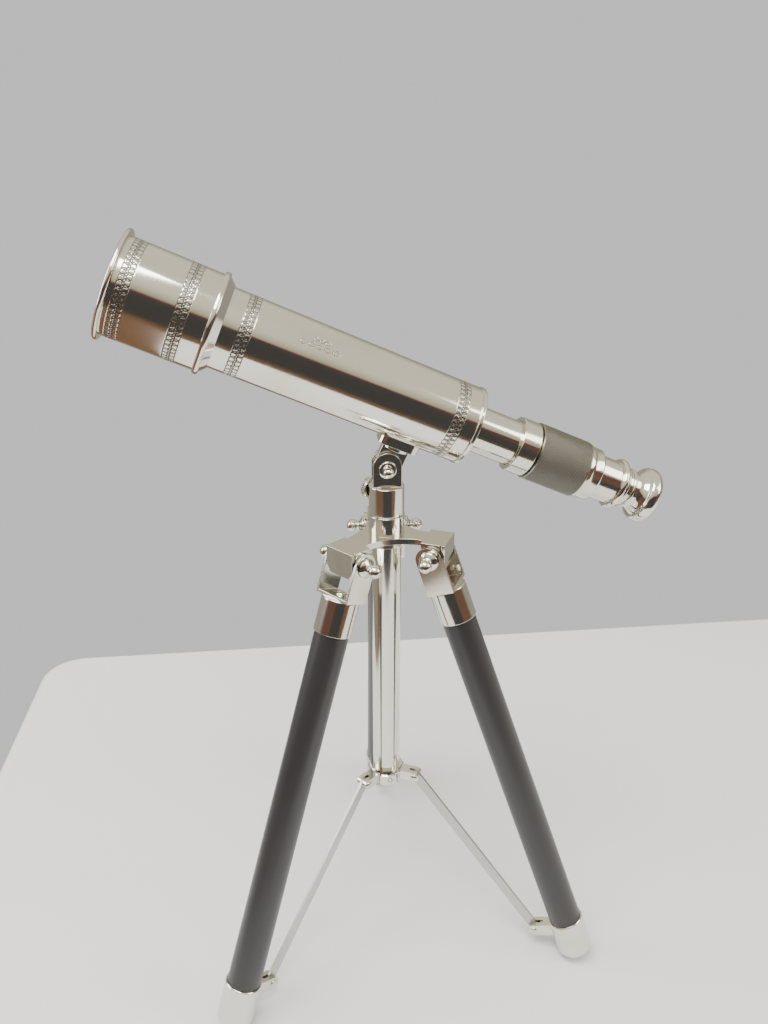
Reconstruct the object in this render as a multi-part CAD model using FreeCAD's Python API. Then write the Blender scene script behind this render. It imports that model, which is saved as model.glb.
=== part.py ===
import FreeCAD, Part
import math
import os

from FreeCAD import Placement, Rotation, Vector

# Table telescope on a folding three-legged stand. Millimetres and degrees.
# +Z is up, the floor is Z = 0 and the column stands on the Z axis. The telescope lies over the X axis:
# its objective points to -X and upwards, its eyepiece to +X. The tilt axis is parallel to Y.
#
# Stations along the telescope ("u") run from above the tilt axis towards the eyepiece.
# Stations along a leg ("t") run from the leg's pivot bolt down to the floor.

# ---- driving dimensions: telescope ----
tube_elevation = 23.4       # optical axis above the horizontal
axis_over_tilt = 36.7       # optical axis to tilt axis
barrel_d = 41.3
barrel_wall = 1.0
barrel_front_u = -104.5     # where the barrel comes out of the shade ring
barrel_rear_u = 29.0
shade_d = 49.0
shade_wall = 0.9
shade_length = 45.4         # rim to shade ring
rim_d = 55.0
rim_thickness = 2.6
shade_ring_d = 52.0
shade_ring_width = 3.0
shade_cone_length = 3.4
cell_wall = 2.05            # around the objective, radial
lens_edge = 2.6
lens_bulge = 1.6
cell_flange = 4.0
cell_depth = 8.0
cell_lip = 1.4              # lip behind the lens, radial
cell_lip_width = 3.0
shade_spigot = 6.0          # how far the shade ring reaches into the shade
draw_d = 24.4
draw_wall = 0.8
draw_shown = 26.0           # length of draw tube in sight
draw_travel_out = 50.0
end_ring_width = 2.6
end_ring_proud = 0.45       # end ring over the barrel, radial
end_ring_depth = 8.0
draw_seat = 5.0             # draw tube's length inside the focusing collar
stop_ring_width = 6.0
erector_span = 26.0         # between the two erecting lenses
erector_edge = 2.0
erector_wall = 1.2
erector_lip = 1.0
erector_bulge = 0.8
collar_d = 29.8
collar_length = 10.4
sleeve_d = 31.4
knurl_length = 29.8
shoulder_d = 28.8
shoulder_length = 9.0
sleeve_end_wall = 2.6
body_wall = 0.95            # long bearing under the focusing sleeve
eyepiece_d = 24.0
eyepiece_wall = 1.0
eyepiece_shown = 12.6
focus_travel = 3.0          # eyepiece travel each way
focus_turn = 150.0          # sleeve turn each way
eye_flange_d = 28.2
eye_flange_width = 3.4
flange_seat = 2.0           # flange over the end of the eyepiece tube
neck_d = 22.4
neck_ring = 1.0             # narrow rings on the neck, radial
neck_length = 9.0
cup_d = 30.4
cup_length = 12.0
cup_lip = 5.0               # eye lens to the cup's rear face
pupil_d = 9.0
pupil_lip = 2.6             # eye lens beyond the eye hole, radial
eye_lens_edge = 2.2
eye_lens_bulge = 1.2
field_lens_bulge = 1.6

# ---- driving dimensions: head and column ----
tilt_z = 307.0
cap_wall = 1.6              # around the post, radial
cap_wall_top = 3.0
cap_height = 16.2
fork_width = 15.2
fork_cheek = 2.4
tongue_thickness = 5.4
tilt_screw_d = 4.0
tilt_ball_d = 5.8
tilt_neck_d = 3.8
tilt_seat_d = 9.4           # round seat of the tilt screw
tilt_seat_width = 1.2
fork_floor = 8.6            # tilt axis to the floor between the cheeks
fork_over = 1.5             # cheek's straight sides above the tilt axis
saddle_length = 22.0
saddle_width = 17.0
saddle_depth = 3.2
lock_knob_d = 11.6
lock_knob_width = 4.0
lock_azimuth = -53.8
lock_screw_d = 3.0
post_d = 16.0
post_wall = 1.4
post_bottom_z = 104.0

# ---- driving dimensions: hub, legs and links ----
hub_top_z = 270.0
hub_plate = 3.4
sleeve_over_hub = 10.4
hub_sleeve_wall = 1.8       # around the post, radial
arm_reach = 36.0
arm_width = 19.4
arm_waist_r = 12.6
arm_lip_height = 14.6
arm_lip_thickness = 2.0
pivot_r = 28.0
pivot_drop = 9.0            # plate top to pivot bolt
pivot_boss_d = 10.6
pivot_bolt_d = 4.0
pivot_ball_d = 7.2
pivot_neck_d = 5.2
bolt_in_nut = 3.0
washer_d = 10.6
washer_thickness = 2.6
rear_azimuth = 4.0          # arm directions, clockwise from +Y seen from above
right_azimuth = 116.0
left_azimuth = 230.0
leg_lean = 20.8             # leg from the vertical when open
leg_fold = 14.0             # how far a leg folds in
leg_d = 19.05
ferrule_wall = 0.85
ferrule_length = 19.6
yoke_width = 15.0
yoke_cheek = 1.7
yoke_depth = 20.4           # pivot bolt to underside of the yoke's base
yoke_screw_d = 6.4
yoke_head_height = 2.2
yoke_shank_d = 3.2
yoke_screw_length = 18.0
cup_length_foot = 24.0
cup_wall = 1.05
cup_floor = 2.6
tip_d = 7.4
tip_length = 6.2
tip_flat = 0.25             # height worn off the round tip
lug_station = 22.2          # link pin above the floor, along the leg
lug_reach = 21.6            # link pin to leg axis
lug_height = 7.4
link_width = 6.0
link_thickness = 1.6
link_pin_d = 2.4
bracket_pin_r = 19.0
bracket_pin_z = 109.0
bracket_d = 22.0
bracket_height = 9.6
ear_thickness = 2.6
rivet_head = 1.2
rivet_head_d = 4.3
hub_collar = 3.0            # hub's collar below its plate
hub_collar_wall = 1.4

# ---- named clearances ----
running = 0.05              # radial, a turning or sliding fit
side_gap = 0.3              # faces of different bodies that pass each other
thread_gap = 0.1            # radial, a screw in its clearance hole
slot_gap = 0.2              # each side of a link in its slot
link_play = 3.4             # slot past the link's end at the foot, for the fold

# ---- derived values ----
pivot_z = hub_top_z - pivot_drop
cap_d = post_d + 2 * cap_wall
hub_sleeve_d = post_d + 2 * hub_sleeve_wall
hub_sleeve_top_z = hub_top_z + sleeve_over_hub
cap_bottom_z = hub_sleeve_top_z + side_gap
cap_top_z = cap_bottom_z + cap_height
post_top_z = cap_top_z - cap_wall_top
lean_cos = math.cos(math.radians(leg_lean))
leg_length = (pivot_z + tip_flat - tip_d / 2 * (1 - lean_cos)) / lean_cos
LEGS = {"rear": rear_azimuth, "right": right_azimuth, "left": left_azimuth}

UP = Vector(0, 0, 1)
AXIS_X = Vector(1, 0, 0)
AXIS_Y = Vector(0, 1, 0)
ORIGIN = Vector(0, 0, 0)


# ---- helpers ----
def outline(path):
    """Wire in the XZ plane: (x, z) is a straight step, (x, z through, x, z to) is an arc."""
    here = Vector(path[0][0], 0, path[0][1])
    first = here
    edges = []
    for step in path[1:] + path[:1]:
        there = Vector(step[-2], 0, step[-1])
        if there.distanceToPoint(here) < 1e-7:
            continue
        if len(step) == 4:
            edges.append(Part.Arc(here, Vector(step[0], 0, step[1]), there).toShape())
        else:
            edges.append(Part.makeLine(here, there))
        here = there
    if here.distanceToPoint(first) > 1e-7:
        edges.append(Part.makeLine(here, first))
    return Part.Wire(edges)


def turned(path):
    """Solid turned about the X axis from an outline of (x, radius) steps."""
    return Part.Face(outline(path)).revolve(ORIGIN, AXIS_X, 360)


def tube(x0, x1, r_in, r_out):
    """Straight tube along X."""
    return turned([(x0, r_in), (x1, r_in), (x1, r_out), (x0, r_out)])


def rod(r, length, start, along):
    """Round rod from start along a direction."""
    return Part.makeCylinder(r, length, start, along)


def slab(path, thickness):
    """Plate of an XZ outline, centred on the XZ plane."""
    face = Part.Face(outline(path))
    face.translate(Vector(0, -thickness / 2, 0))
    return face.extrude(Vector(0, thickness, 0))


def centred_box(size_x, size_y, size_z, centre):
    corner = centre - Vector(size_x / 2, size_y / 2, size_z / 2)
    return Part.makeBox(size_x, size_y, size_z, corner)


def ball_head(r_ball, r_neck, length):
    """Ball on a short neck along X; the neck starts at x = 0 and the ball ends at x = length."""
    centre = length - r_ball
    meet = centre - math.sqrt(r_ball ** 2 - r_neck ** 2)
    return turned([(0, 0), (0, r_neck), (meet, r_neck), (centre, r_ball, length, 0)])


def dome(base, r, height):
    """Arc step from (base, r) over a spherical cap to the axis at base + height."""
    side = math.copysign(1.0, height)
    radius = (r ** 2 + height ** 2) / (2 * abs(height))
    centre = base + height - side * radius
    return centre + side * math.sqrt(radius ** 2 - (r / 2) ** 2), r / 2, base + height, 0


def dome_out(base, r, height):
    """The same cap taken the other way: from the axis out to (base, r)."""
    through = dome(base, r, height)
    return through[0], through[1], base, r


def joined(shapes):
    """One solid from shapes that touch."""
    whole = shapes[0]
    for shape in shapes[1:]:
        whole = whole.fuse(shape)
    return whole.removeSplitter()


def on_scope(shape, lift=axis_over_tilt):
    """From the telescope's own frame (optical axis on X) to its place over the tilt axis."""
    shape = shape.copy()
    shape.translate(Vector(0, 0, lift))
    shape.rotate(ORIGIN, AXIS_Y, tube_elevation)
    shape.translate(Vector(0, 0, tilt_z))
    return shape


def on_arm(shape, azimuth):
    """From a frame whose X runs out along an arm to the arm's azimuth."""
    shape = shape.copy()
    shape.rotate(ORIGIN, UP, 90.0 - azimuth)
    return shape


def on_leg(shape, azimuth):
    """From the leg's own frame (pivot at the origin, leg down -Z, X outwards) to its place."""
    shape = shape.copy()
    shape.rotate(ORIGIN, AXIS_Y, -leg_lean)
    shape.translate(Vector(pivot_r, 0, pivot_z))
    return on_arm(shape, azimuth)


def upright(shape):
    """Turns a piece made along X so that it stands along Z."""
    shape = shape.copy()
    shape.rotate(ORIGIN, AXIS_Y, -90)
    return shape


# ---- telescope: shade, barrel and objective ----
barrel_r = barrel_d / 2
barrel_in = barrel_r - barrel_wall
lens_d = 2 * (barrel_in - cell_wall - thread_gap)
shade_r = shade_d / 2
shade_in = shade_r - shade_wall
ring_rear_u = barrel_front_u
cone_front_u = ring_rear_u - shade_cone_length
ring_front_u = cone_front_u - shade_ring_width
rim_rear_u = ring_front_u - shade_length
rim_front_u = rim_rear_u - rim_thickness
barrel_start_u = ring_front_u - shade_spigot
cell_front_u = barrel_start_u - cell_flange
cell_rear_u = barrel_start_u + cell_depth
lens_rear_u = cell_rear_u - cell_lip_width
lens_front_u = lens_rear_u - lens_edge
lens_clear_r = lens_d / 2 - cell_lip


def shade_rim():
    bead = rim_thickness / 2
    r_top = rim_d / 2 - bead
    return turned([
        (rim_front_u, shade_in), (rim_rear_u, shade_in), (rim_rear_u, r_top),
        (rim_front_u + bead, rim_d / 2, rim_front_u, r_top),
    ])


def shade_tube():
    return tube(rim_rear_u, ring_front_u, shade_in, shade_r)


def shade_ring():
    """Turned ring that carries the shade on the barrel: a spigot, a round bead and a cone."""
    bead_r = shade_ring_d / 2
    middle = ring_front_u + shade_ring_width / 2
    edge = bead_r - 0.6
    return turned([
        (barrel_start_u, barrel_r), (ring_rear_u, barrel_r), (ring_rear_u, barrel_r + 0.5),
        (cone_front_u, shade_r - 0.5), (cone_front_u, edge), (middle, bead_r, ring_front_u, edge),
        (ring_front_u, shade_in), (barrel_start_u, shade_in),
    ])


def objective_cell():
    """Holder in the mouth of the barrel with a lip behind the lens."""
    bore = lens_d / 2 + thread_gap
    return turned([
        (cell_front_u, bore), (lens_rear_u, bore), (lens_rear_u, lens_clear_r), (cell_rear_u, lens_clear_r),
        (cell_rear_u, barrel_in), (barrel_start_u, barrel_in), (barrel_start_u, barrel_r),
        (cell_front_u, barrel_r),
    ])


def lens(front, rear, r, r_clear, bulge):
    """Double convex lens with a flat edge band from r_clear to r on each side."""
    return turned([
        (front, r), (rear, r), (rear, r_clear), dome(rear, r_clear, bulge), (front - bulge, 0),
        dome_out(front, r_clear, -bulge),
    ])


def objective_lens():
    return lens(lens_front_u, lens_rear_u, lens_d / 2, lens_clear_r, lens_bulge)


def lens_retainer():
    return tube(cell_front_u, lens_front_u, lens_clear_r, lens_d / 2 + thread_gap)


def main_barrel():
    return tube(barrel_start_u, barrel_rear_u, barrel_in, barrel_r)


# ---- telescope: draw tube and focusing eyepiece ----
end_ring_rear_u = barrel_rear_u + end_ring_width
draw_r = draw_d / 2
draw_in = draw_r - draw_wall
collar_front_u = end_ring_rear_u + draw_shown
collar_rear_u = collar_front_u + collar_length
stop_rear_u = barrel_rear_u - end_ring_depth - draw_travel_out - side_gap
draw_front_u = stop_rear_u - stop_ring_width
draw_travel_in = draw_shown - side_gap * 3
body_r = eyepiece_d / 2 + running + body_wall
erector_r = draw_in - erector_wall
erector_near_u = draw_front_u + 4.0
erector_far_u = erector_near_u + erector_span
erector_rear_u = erector_far_u + 4.0
sleeve_front_u = collar_rear_u + 2 * side_gap
knurl_rear_u = sleeve_front_u + knurl_length
sleeve_rear_u = knurl_rear_u + shoulder_length
body_rear_u = sleeve_rear_u - sleeve_end_wall - focus_travel - 1.0
flange_front_u = sleeve_rear_u + eyepiece_shown
eyepiece_front_u = collar_rear_u + focus_travel + 1.0
neck_front_u = flange_front_u + eye_flange_width
cup_front_u = neck_front_u + neck_length
cup_rear_u = cup_front_u + cup_length


def barrel_end_ring():
    """Closes the barrel and guides the draw tube."""
    r_bore = draw_r + running
    r_out = barrel_r + end_ring_proud
    inner = barrel_rear_u - end_ring_depth
    return turned([
        (inner, r_bore), (end_ring_rear_u, r_bore), (end_ring_rear_u, r_out - 0.8),
        (end_ring_rear_u - 0.25, r_out - 0.25, end_ring_rear_u - 0.8, r_out), (barrel_rear_u, r_out),
        (barrel_rear_u, barrel_in), (inner, barrel_in),
    ])


def draw_tube():
    return tube(draw_front_u, collar_front_u + draw_seat, draw_in, draw_r)


def draw_stop_ring():
    """Ring on the hidden end of the draw tube; it runs inside the barrel and stops at the end ring."""
    return tube(draw_front_u, stop_rear_u, draw_r, barrel_in - running)


def erector_cell():
    """Carrier tube for the two erecting lenses, with a spacer between them."""
    carrier = tube(draw_front_u, erector_rear_u, erector_r, draw_in)
    spacer = tube(erector_near_u, erector_far_u, erector_r - erector_lip, erector_r)
    return joined([carrier, spacer])


def erector_lenses():
    clear = erector_r - erector_lip
    near = lens(erector_near_u - erector_edge, erector_near_u, erector_r, clear, erector_bulge)
    far = lens(erector_far_u, erector_far_u + erector_edge, erector_r, clear, erector_bulge)
    return Part.makeCompound([near, far])


def focus_collar():
    """Front ring on the draw tube, with the long bearing that the focusing sleeve turns on."""
    r_bore = eyepiece_d / 2 + running
    r_out = collar_d / 2
    seat = collar_front_u + draw_seat
    return turned([
        (collar_front_u, draw_r), (seat, draw_r), (seat, draw_in), (collar_rear_u, draw_in),
        (collar_rear_u, r_bore), (body_rear_u, r_bore), (body_rear_u, body_r),
        (collar_rear_u, body_r), (collar_rear_u, r_out), (collar_front_u + 1.0, r_out),
        (collar_front_u + 0.3, r_out - 0.3, collar_front_u, r_out - 1.0),
    ])


def focus_sleeve():
    """Knurled grip with a plain rounded shoulder; its end wall lets the eyepiece tube through."""
    r_bore = body_r + running
    r_tube = eyepiece_d / 2 + running
    r_out = sleeve_d / 2
    end_wall = sleeve_rear_u - sleeve_end_wall
    r_end = shoulder_d / 2
    r_step = r_out - 0.5
    return turned([
        (sleeve_front_u, r_bore), (end_wall, r_bore), (end_wall, r_tube), (sleeve_rear_u, r_tube),
        (sleeve_rear_u, r_end - 1.4), (sleeve_rear_u - 0.4, r_end - 0.4, sleeve_rear_u - 1.4, r_end),
        (knurl_rear_u + 2.0, r_step), (knurl_rear_u, r_step), (knurl_rear_u, r_out), (sleeve_front_u, r_out),
    ])


def eyepiece_tube():
    r = eyepiece_d / 2
    return tube(eyepiece_front_u, flange_front_u + flange_seat, r - eyepiece_wall, r)


def eyepiece_flange():
    """Round bead behind the eyepiece tube, then a neck with two narrow rings."""
    r_tube = eyepiece_d / 2
    r_in = r_tube - eyepiece_wall - 1.4
    r_flange = eye_flange_d / 2
    r_waist = neck_d / 2 - neck_ring
    middle = (flange_front_u + neck_front_u) / 2
    edge = r_flange - 0.9
    step = neck_length / 4
    near, far = neck_front_u, cup_front_u
    return turned([
        (flange_front_u + flange_seat, r_in), (far, r_in), (far, r_waist), (far - step, r_waist),
        (far - step * 1.5, r_waist + neck_ring, far - step * 2, r_waist), (near + step * 1.2, r_waist),
        (near + step * 0.6, r_waist + neck_ring * 1.6, near, r_waist + neck_ring * 0.5), (near, edge),
        (middle, r_flange, flange_front_u, edge), (flange_front_u, r_tube),
        (flange_front_u + flange_seat, r_tube),
    ])


def eye_cup():
    """Mushroom-shaped eye end: a flared front, a round rim and a dished face with the eye hole."""
    r_cup = cup_d / 2
    r_neck = neck_d / 2 - neck_ring
    rim_u = cup_rear_u - 4.6
    dish = cup_rear_u - 1.2
    hole = pupil_d / 2
    seat = cup_rear_u - cup_lip
    return turned([
        (cup_front_u, hole + pupil_lip), (seat, hole + pupil_lip), (seat, hole), (dish - 1.6, hole),
        (dish, r_cup * 0.62), (cup_rear_u, r_cup * 0.78), (cup_rear_u - 1.2, r_cup * 0.95, rim_u, r_cup),
        (rim_u - 2.4, r_cup - 0.9, cup_front_u + 2.6, r_neck + 1.0), (cup_front_u, r_neck),
    ])


def flat_lens(front, rear, r, bulge):
    """Lens with a flat back and a domed front."""
    return turned([(front - bulge, 0), dome_out(front, r, -bulge), (rear, r), (rear, 0)])


def eye_lens():
    """Sits in the cup against the lip of the eye hole."""
    rear = cup_rear_u - cup_lip
    return flat_lens(rear - eye_lens_edge, rear, pupil_d / 2 + pupil_lip, eye_lens_bulge)


def field_lens():
    front = eyepiece_front_u + 2.0
    return flat_lens(front, front + eye_lens_edge, eyepiece_d / 2 - eyepiece_wall, field_lens_bulge)


# ---- head: saddle, tongue, fork, cap ----
tongue_end_r = fork_width / 2 - side_gap
fork_gap = tongue_thickness + 2 * side_gap
fork_depth = fork_gap + 2 * fork_cheek
pad_low = axis_over_tilt - barrel_r - saddle_depth


def saddle_pad():
    """Curved pad brazed under the barrel."""
    block = centred_box(saddle_length, saddle_width, saddle_depth + 3.0,
                        Vector(0, 0, -barrel_r - saddle_depth / 2 + 1.5))
    corner = saddle_width / 2 - 0.2
    posts = [e for e in block.Edges if abs(e.tangentAt(e.FirstParameter).z) > 0.9]
    block = block.makeFillet(corner * 0.6, posts)
    return block.cut(rod(barrel_r, saddle_length * 2, Vector(-saddle_length, 0, 0), AXIS_X))


def tilt_tongue():
    """Flat tongue from the saddle pad down round the tilt screw, with its half-round boss on top."""
    half = tongue_end_r
    path = [(half, 0), (half, pad_low), (-half, pad_low), (-half, 0), (0, -half, half, 0)]
    plate = slab(path, tongue_thickness)
    boss = rod(saddle_width / 2 - 2.0, 2.2, Vector(0, 0, pad_low - 2.2), UP)
    hole = rod(tilt_screw_d / 2 + running, fork_depth * 2, Vector(0, -fork_depth, 0), AXIS_Y)
    return joined([plate, boss]).cut(hole)


def head_fork():
    """U-shaped fork on top of the cap; the tongue tilts between its cheeks."""
    half = fork_width / 2
    base = cap_top_z - tilt_z
    cheek = [(-half, base), (half, base), (half, fork_over), (0, half + fork_over, -half, fork_over)]
    block = slab(cheek, fork_depth)
    slot_height = fork_floor + fork_width * 2
    slot = centred_box(fork_width * 2, fork_gap, slot_height, Vector(0, 0, slot_height / 2 - fork_floor))
    hole = rod(tilt_screw_d / 2 + thread_gap, fork_depth * 2, Vector(0, -fork_depth, 0), AXIS_Y)
    fork = block.cut(slot).cut(hole)
    fork.translate(Vector(0, 0, tilt_z))
    return fork


def tilt_screw():
    """Clamping screw through fork and tongue: ball head, round seat and plain shank."""
    seat = tilt_seat_width
    r_seat = tilt_seat_d / 2
    shank = rod(tilt_screw_d / 2, fork_depth + 5.0, Vector(0, -fork_depth / 2, 0), AXIS_Y)
    head = turned([(0, 0), (0, r_seat), (seat - 0.4, r_seat), (seat, r_seat - 0.4), (seat, 0)])
    ball = ball_head(tilt_ball_d / 2, tilt_neck_d / 2, tilt_ball_d + 0.6)
    ball.translate(Vector(seat, 0, 0))
    top = joined([head, ball])
    top.rotate(ORIGIN, UP, -90)
    top.translate(Vector(0, -fork_depth / 2, 0))
    screw = joined([shank, top])
    screw.translate(Vector(0, 0, tilt_z))
    return screw


def tilt_nut():
    nut = turned([(0, tilt_screw_d / 2), (0, 4.4), (2.2, 4.4), (3.4, 3.4), (3.4, tilt_screw_d / 2)])
    nut.rotate(ORIGIN, UP, 90)
    nut.translate(Vector(0, fork_depth / 2, tilt_z))
    return nut


lock_z = cap_bottom_z + cap_height * 0.74
lock_hole_r = lock_screw_d / 2 + thread_gap


def head_cap():
    """Round cap that turns on the top of the column."""
    r = cap_d / 2
    bore = post_d / 2 + running
    cap = upright(turned([
        (cap_bottom_z, bore), (post_top_z + running, bore), (post_top_z + running, 0), (cap_top_z, 0),
        (cap_top_z, r - 0.6), (cap_top_z - 0.6, r), (cap_bottom_z, r),
    ]))
    hole = rod(lock_hole_r, cap_d, Vector(0, 0, lock_z), AXIS_X)
    return cap.cut(on_arm(hole, lock_azimuth))


def pan_lock_screw():
    """Round knob whose screw bears on the column through the cap."""
    r = lock_knob_d / 2
    start = post_d / 2 + running
    face = cap_d / 2 + side_gap
    end = face + lock_knob_width
    knob = turned([
        (start, 0), (start, lock_screw_d / 2), (face, lock_screw_d / 2), (face, r - 1.0),
        (face + 0.3, r - 0.3, face + 1.0, r), (end - 1.6, r), (end - 0.4, r - 1.4, end, r * 0.45), (end, 0),
    ])
    knob.translate(Vector(0, 0, lock_z))
    return on_arm(knob, lock_azimuth)


# ---- column, bracket and links ----
link_gap = link_thickness / 2 + slot_gap
ear_out = link_gap + ear_thickness


def center_post():
    r = post_d / 2
    return upright(turned([
        (post_bottom_z, r - post_wall), (post_top_z, r - post_wall), (post_top_z, r), (post_bottom_z, r),
    ]))


def slotted_lug(body, root_x, pin_x, pin_z, height, room, azimuth=None):
    """Adds a round-ended lug to a body, slotted for a link, with its pin hole.

    The lug reaches along X from root_x to round the pin; room is how deep the slot goes past the pin.
    """
    r = height / 2
    side = 1 if pin_x > root_x else -1
    round_end = (pin_x + side * r, pin_z, pin_x, pin_z - r)
    path = [(root_x, pin_z - r), (root_x, pin_z + r), (pin_x, pin_z + r), round_end]
    slot_length = 40.0
    slot_middle = pin_x - side * room + side * slot_length / 2
    lug = slab(path, 2 * ear_out)
    slot = centred_box(slot_length, 2 * link_gap, slot_length, Vector(slot_middle, 0, pin_z))
    hole = rod(link_pin_d / 2, ear_out * 4, Vector(pin_x, -ear_out * 2, pin_z), AXIS_Y)
    if azimuth is not None:
        lug, slot, hole = (on_arm(shape, azimuth) for shape in (lug, slot, hole))
    return body.fuse(lug).cut(slot).cut(hole)


def bottom_bracket():
    """Collar pressed on the foot of the column, with three slotted lugs for the links."""
    r_in = post_d / 2
    r_out = bracket_d / 2
    low = post_bottom_z
    top = low + bracket_height
    body = upright(turned([
        (low, r_in), (top, r_in), (top, r_in + 1.6), (top - 2.2, r_in + 2.2), (top - 2.8, r_out),
        (low + 0.6, r_out), (low, r_out - 0.6),
    ]))
    room = link_width / 2 + 2 * side_gap
    for azimuth in LEGS.values():
        body = slotted_lug(body, r_in + 1.5, bracket_pin_r, bracket_pin_z, link_width, room, azimuth)
    return body.removeSplitter()


def bracket_rivets():
    """One rivet through each lug and link."""
    pins = []
    r = link_pin_d / 2
    r_head = rivet_head_d / 2
    for azimuth in LEGS.values():
        pin = turned([
            (-ear_out - rivet_head, 0), dome_out(-ear_out, r_head, -rivet_head), (-ear_out, r), (ear_out, r),
            (ear_out, r_head), dome(ear_out, r_head, rivet_head),
        ])
        pin.rotate(ORIGIN, UP, 90)
        pin.translate(Vector(bracket_pin_r, 0, bracket_pin_z))
        pins.append(on_arm(pin, azimuth))
    return Part.makeCompound(pins)


def bracket_screw():
    """Grub screw that holds the bracket on the column, half-way between two lugs."""
    start = post_d / 2 - post_wall
    end = bracket_d / 2 + 1.4
    screw = turned([(start, 0), (start, 1.5), (end - 0.6, 1.5), (end, 0.9), (end, 0)])
    screw.translate(Vector(0, 0, post_bottom_z + 3.6))
    return on_arm(screw, (right_azimuth + left_azimuth) / 2)


# ---- legs: stations t count down the leg from the pivot bolt ----
leg_r = leg_d / 2
ferrule_top_t = yoke_depth
ferrule_cap = 1.6
rod_top_t = ferrule_top_t + ferrule_cap
tip_end_t = leg_length
cup_bottom_t = tip_end_t - tip_length
cup_top_t = cup_bottom_t - cup_length_foot
rod_bottom_t = cup_bottom_t - cup_floor
lug_t = leg_length - lug_station
yoke_in = arm_width / 2 + side_gap
yoke_out = yoke_in + yoke_cheek
foot_pin = Vector(-lug_reach, 0, -lug_t)
yoke_shank_r = yoke_shank_d / 2
yoke_hole_r = yoke_shank_r + thread_gap
tip_stem_r = tip_d / 2 - 1.0


def down_leg(path):
    """Solid turned about the leg's axis from (t, radius) steps."""
    return upright(turned([(-s[0], s[1]) if len(s) == 2 else (-s[0], s[1], -s[2], s[3]) for s in path]))


def leg_yoke():
    """U-shaped strap: two cheeks that straddle the hub's arm and a base on the ferrule."""
    half = yoke_width / 2
    base = -yoke_depth
    cheek = [(-half, base), (half, base), (half, 0), (0, half, -half, 0)]
    block = slab(cheek, 2 * yoke_out)
    tall = yoke_depth * 3
    room = centred_box(yoke_width * 3, 2 * yoke_in, tall, Vector(0, 0, base + yoke_cheek + tall / 2))
    hole = rod(pivot_bolt_d / 2 + running, yoke_out * 4, Vector(0, -yoke_out * 2, 0), AXIS_Y)
    screw = rod(yoke_hole_r, 10, Vector(0, 0, base - 1), UP)
    return block.cut(room).cut(hole).cut(screw)


def yoke_screw():
    """Round-headed screw through the yoke's base into the leg."""
    r = yoke_screw_d / 2
    base_t = yoke_depth - yoke_cheek
    tip_t = base_t + yoke_screw_length
    return down_leg([
        (base_t - yoke_head_height, 0), dome_out(base_t, r, -yoke_head_height), (base_t, yoke_shank_r),
        (tip_t - 2.0, yoke_shank_r), (tip_t, 0),
    ])


def leg_ferrule():
    """Plated top ferrule with a closed, slightly rounded top."""
    r = leg_r + ferrule_wall
    top = ferrule_top_t
    low = top + ferrule_length
    return down_leg([
        (top, yoke_hole_r), (top, r - 1.2), (top + 0.35, r - 0.35, top + 1.2, r), (low, r), (low, leg_r),
        (rod_top_t, leg_r), (rod_top_t, yoke_hole_r),
    ])


def leg_rod():
    """Turned wooden leg, drilled for the yoke's screw."""
    screw_end = yoke_depth - yoke_cheek + yoke_screw_length + 0.5
    return down_leg([
        (rod_top_t, yoke_hole_r), (screw_end, yoke_hole_r), (screw_end, 0), (rod_bottom_t, 0),
        (rod_bottom_t, leg_r), (rod_top_t, leg_r),
    ])


def foot_cup():
    """Plated cup on the foot of the leg, with the slotted lug that takes the link."""
    r = leg_r + cup_wall
    low = cup_bottom_t
    cup = down_leg([
        (cup_top_t, leg_r), (rod_bottom_t, leg_r), (rod_bottom_t, tip_stem_r), (low, tip_stem_r),
        (low, r - 3.0), (low - 0.9, r - 0.9, low - 3.4, r - 0.2), (cup_top_t + 0.5, r), (cup_top_t, r - 0.4),
    ])
    inside = down_leg([(cup_top_t, 0), (rod_bottom_t, 0), (rod_bottom_t, leg_r), (cup_top_t, leg_r)])
    room = link_width / 2 + link_play
    cup = slotted_lug(cup, -leg_r, -lug_reach, -lug_t, lug_height, room)
    return cup.cut(inside).removeSplitter()


def foot_tip():
    """Small round tip under the cup; its worn flat stands on the floor."""
    r = tip_d / 2
    round_t = tip_end_t - r
    diagonal = r * math.sqrt(0.5)
    return down_leg([
        (rod_bottom_t, 0), (rod_bottom_t, tip_stem_r), (cup_bottom_t, tip_stem_r), (cup_bottom_t, r),
        (round_t, r), (round_t + diagonal, diagonal, tip_end_t, 0),
    ])


def foot_rivets():
    """Two rivet heads with short shanks, one in each ear; the link's end is free between them."""
    r = link_pin_d / 2
    r_head = rivet_head_d / 2
    heads = []
    for side in (-1, 1):
        pin = turned([
            (link_gap, 0), (link_gap, r), (ear_out, r), (ear_out, r_head), dome(ear_out, r_head, rivet_head),
        ])
        pin.rotate(ORIGIN, UP, 90 * side)
        pin.translate(foot_pin)
        heads.append(pin)
    return Part.makeCompound(heads)


def in_arm_plane(point):
    """A point of the leg's own frame as (radius, height) in the open stand."""
    lean = math.radians(leg_lean)
    radius = pivot_r + point.x * math.cos(lean) - point.z * math.sin(lean)
    height = pivot_z + point.x * math.sin(lean) + point.z * math.cos(lean)
    return radius, height


def link_bar():
    """Flat stay from the bracket's pin to the foot's pin, round at both ends."""
    far_r, far_z = in_arm_plane(foot_pin)
    span = math.hypot(far_r - bracket_pin_r, far_z - bracket_pin_z)
    slope = math.degrees(math.atan2(bracket_pin_z - far_z, far_r - bracket_pin_r))
    r = link_width / 2
    path = [(0, r), (span, r), (span + r, 0, span, -r), (0, -r), (-r, 0, 0, r)]
    bar = slab(path, link_thickness)
    near = rod(link_pin_d / 2 + running, 10, Vector(0, -5, 0), AXIS_Y)
    far = rod(link_pin_d / 2 + running, 10, Vector(span, -5, 0), AXIS_Y)
    bar = bar.cut(near).cut(far)
    bar.rotate(ORIGIN, AXIS_Y, slope)
    bar.translate(Vector(bracket_pin_r, 0, bracket_pin_z))
    return bar


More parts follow.
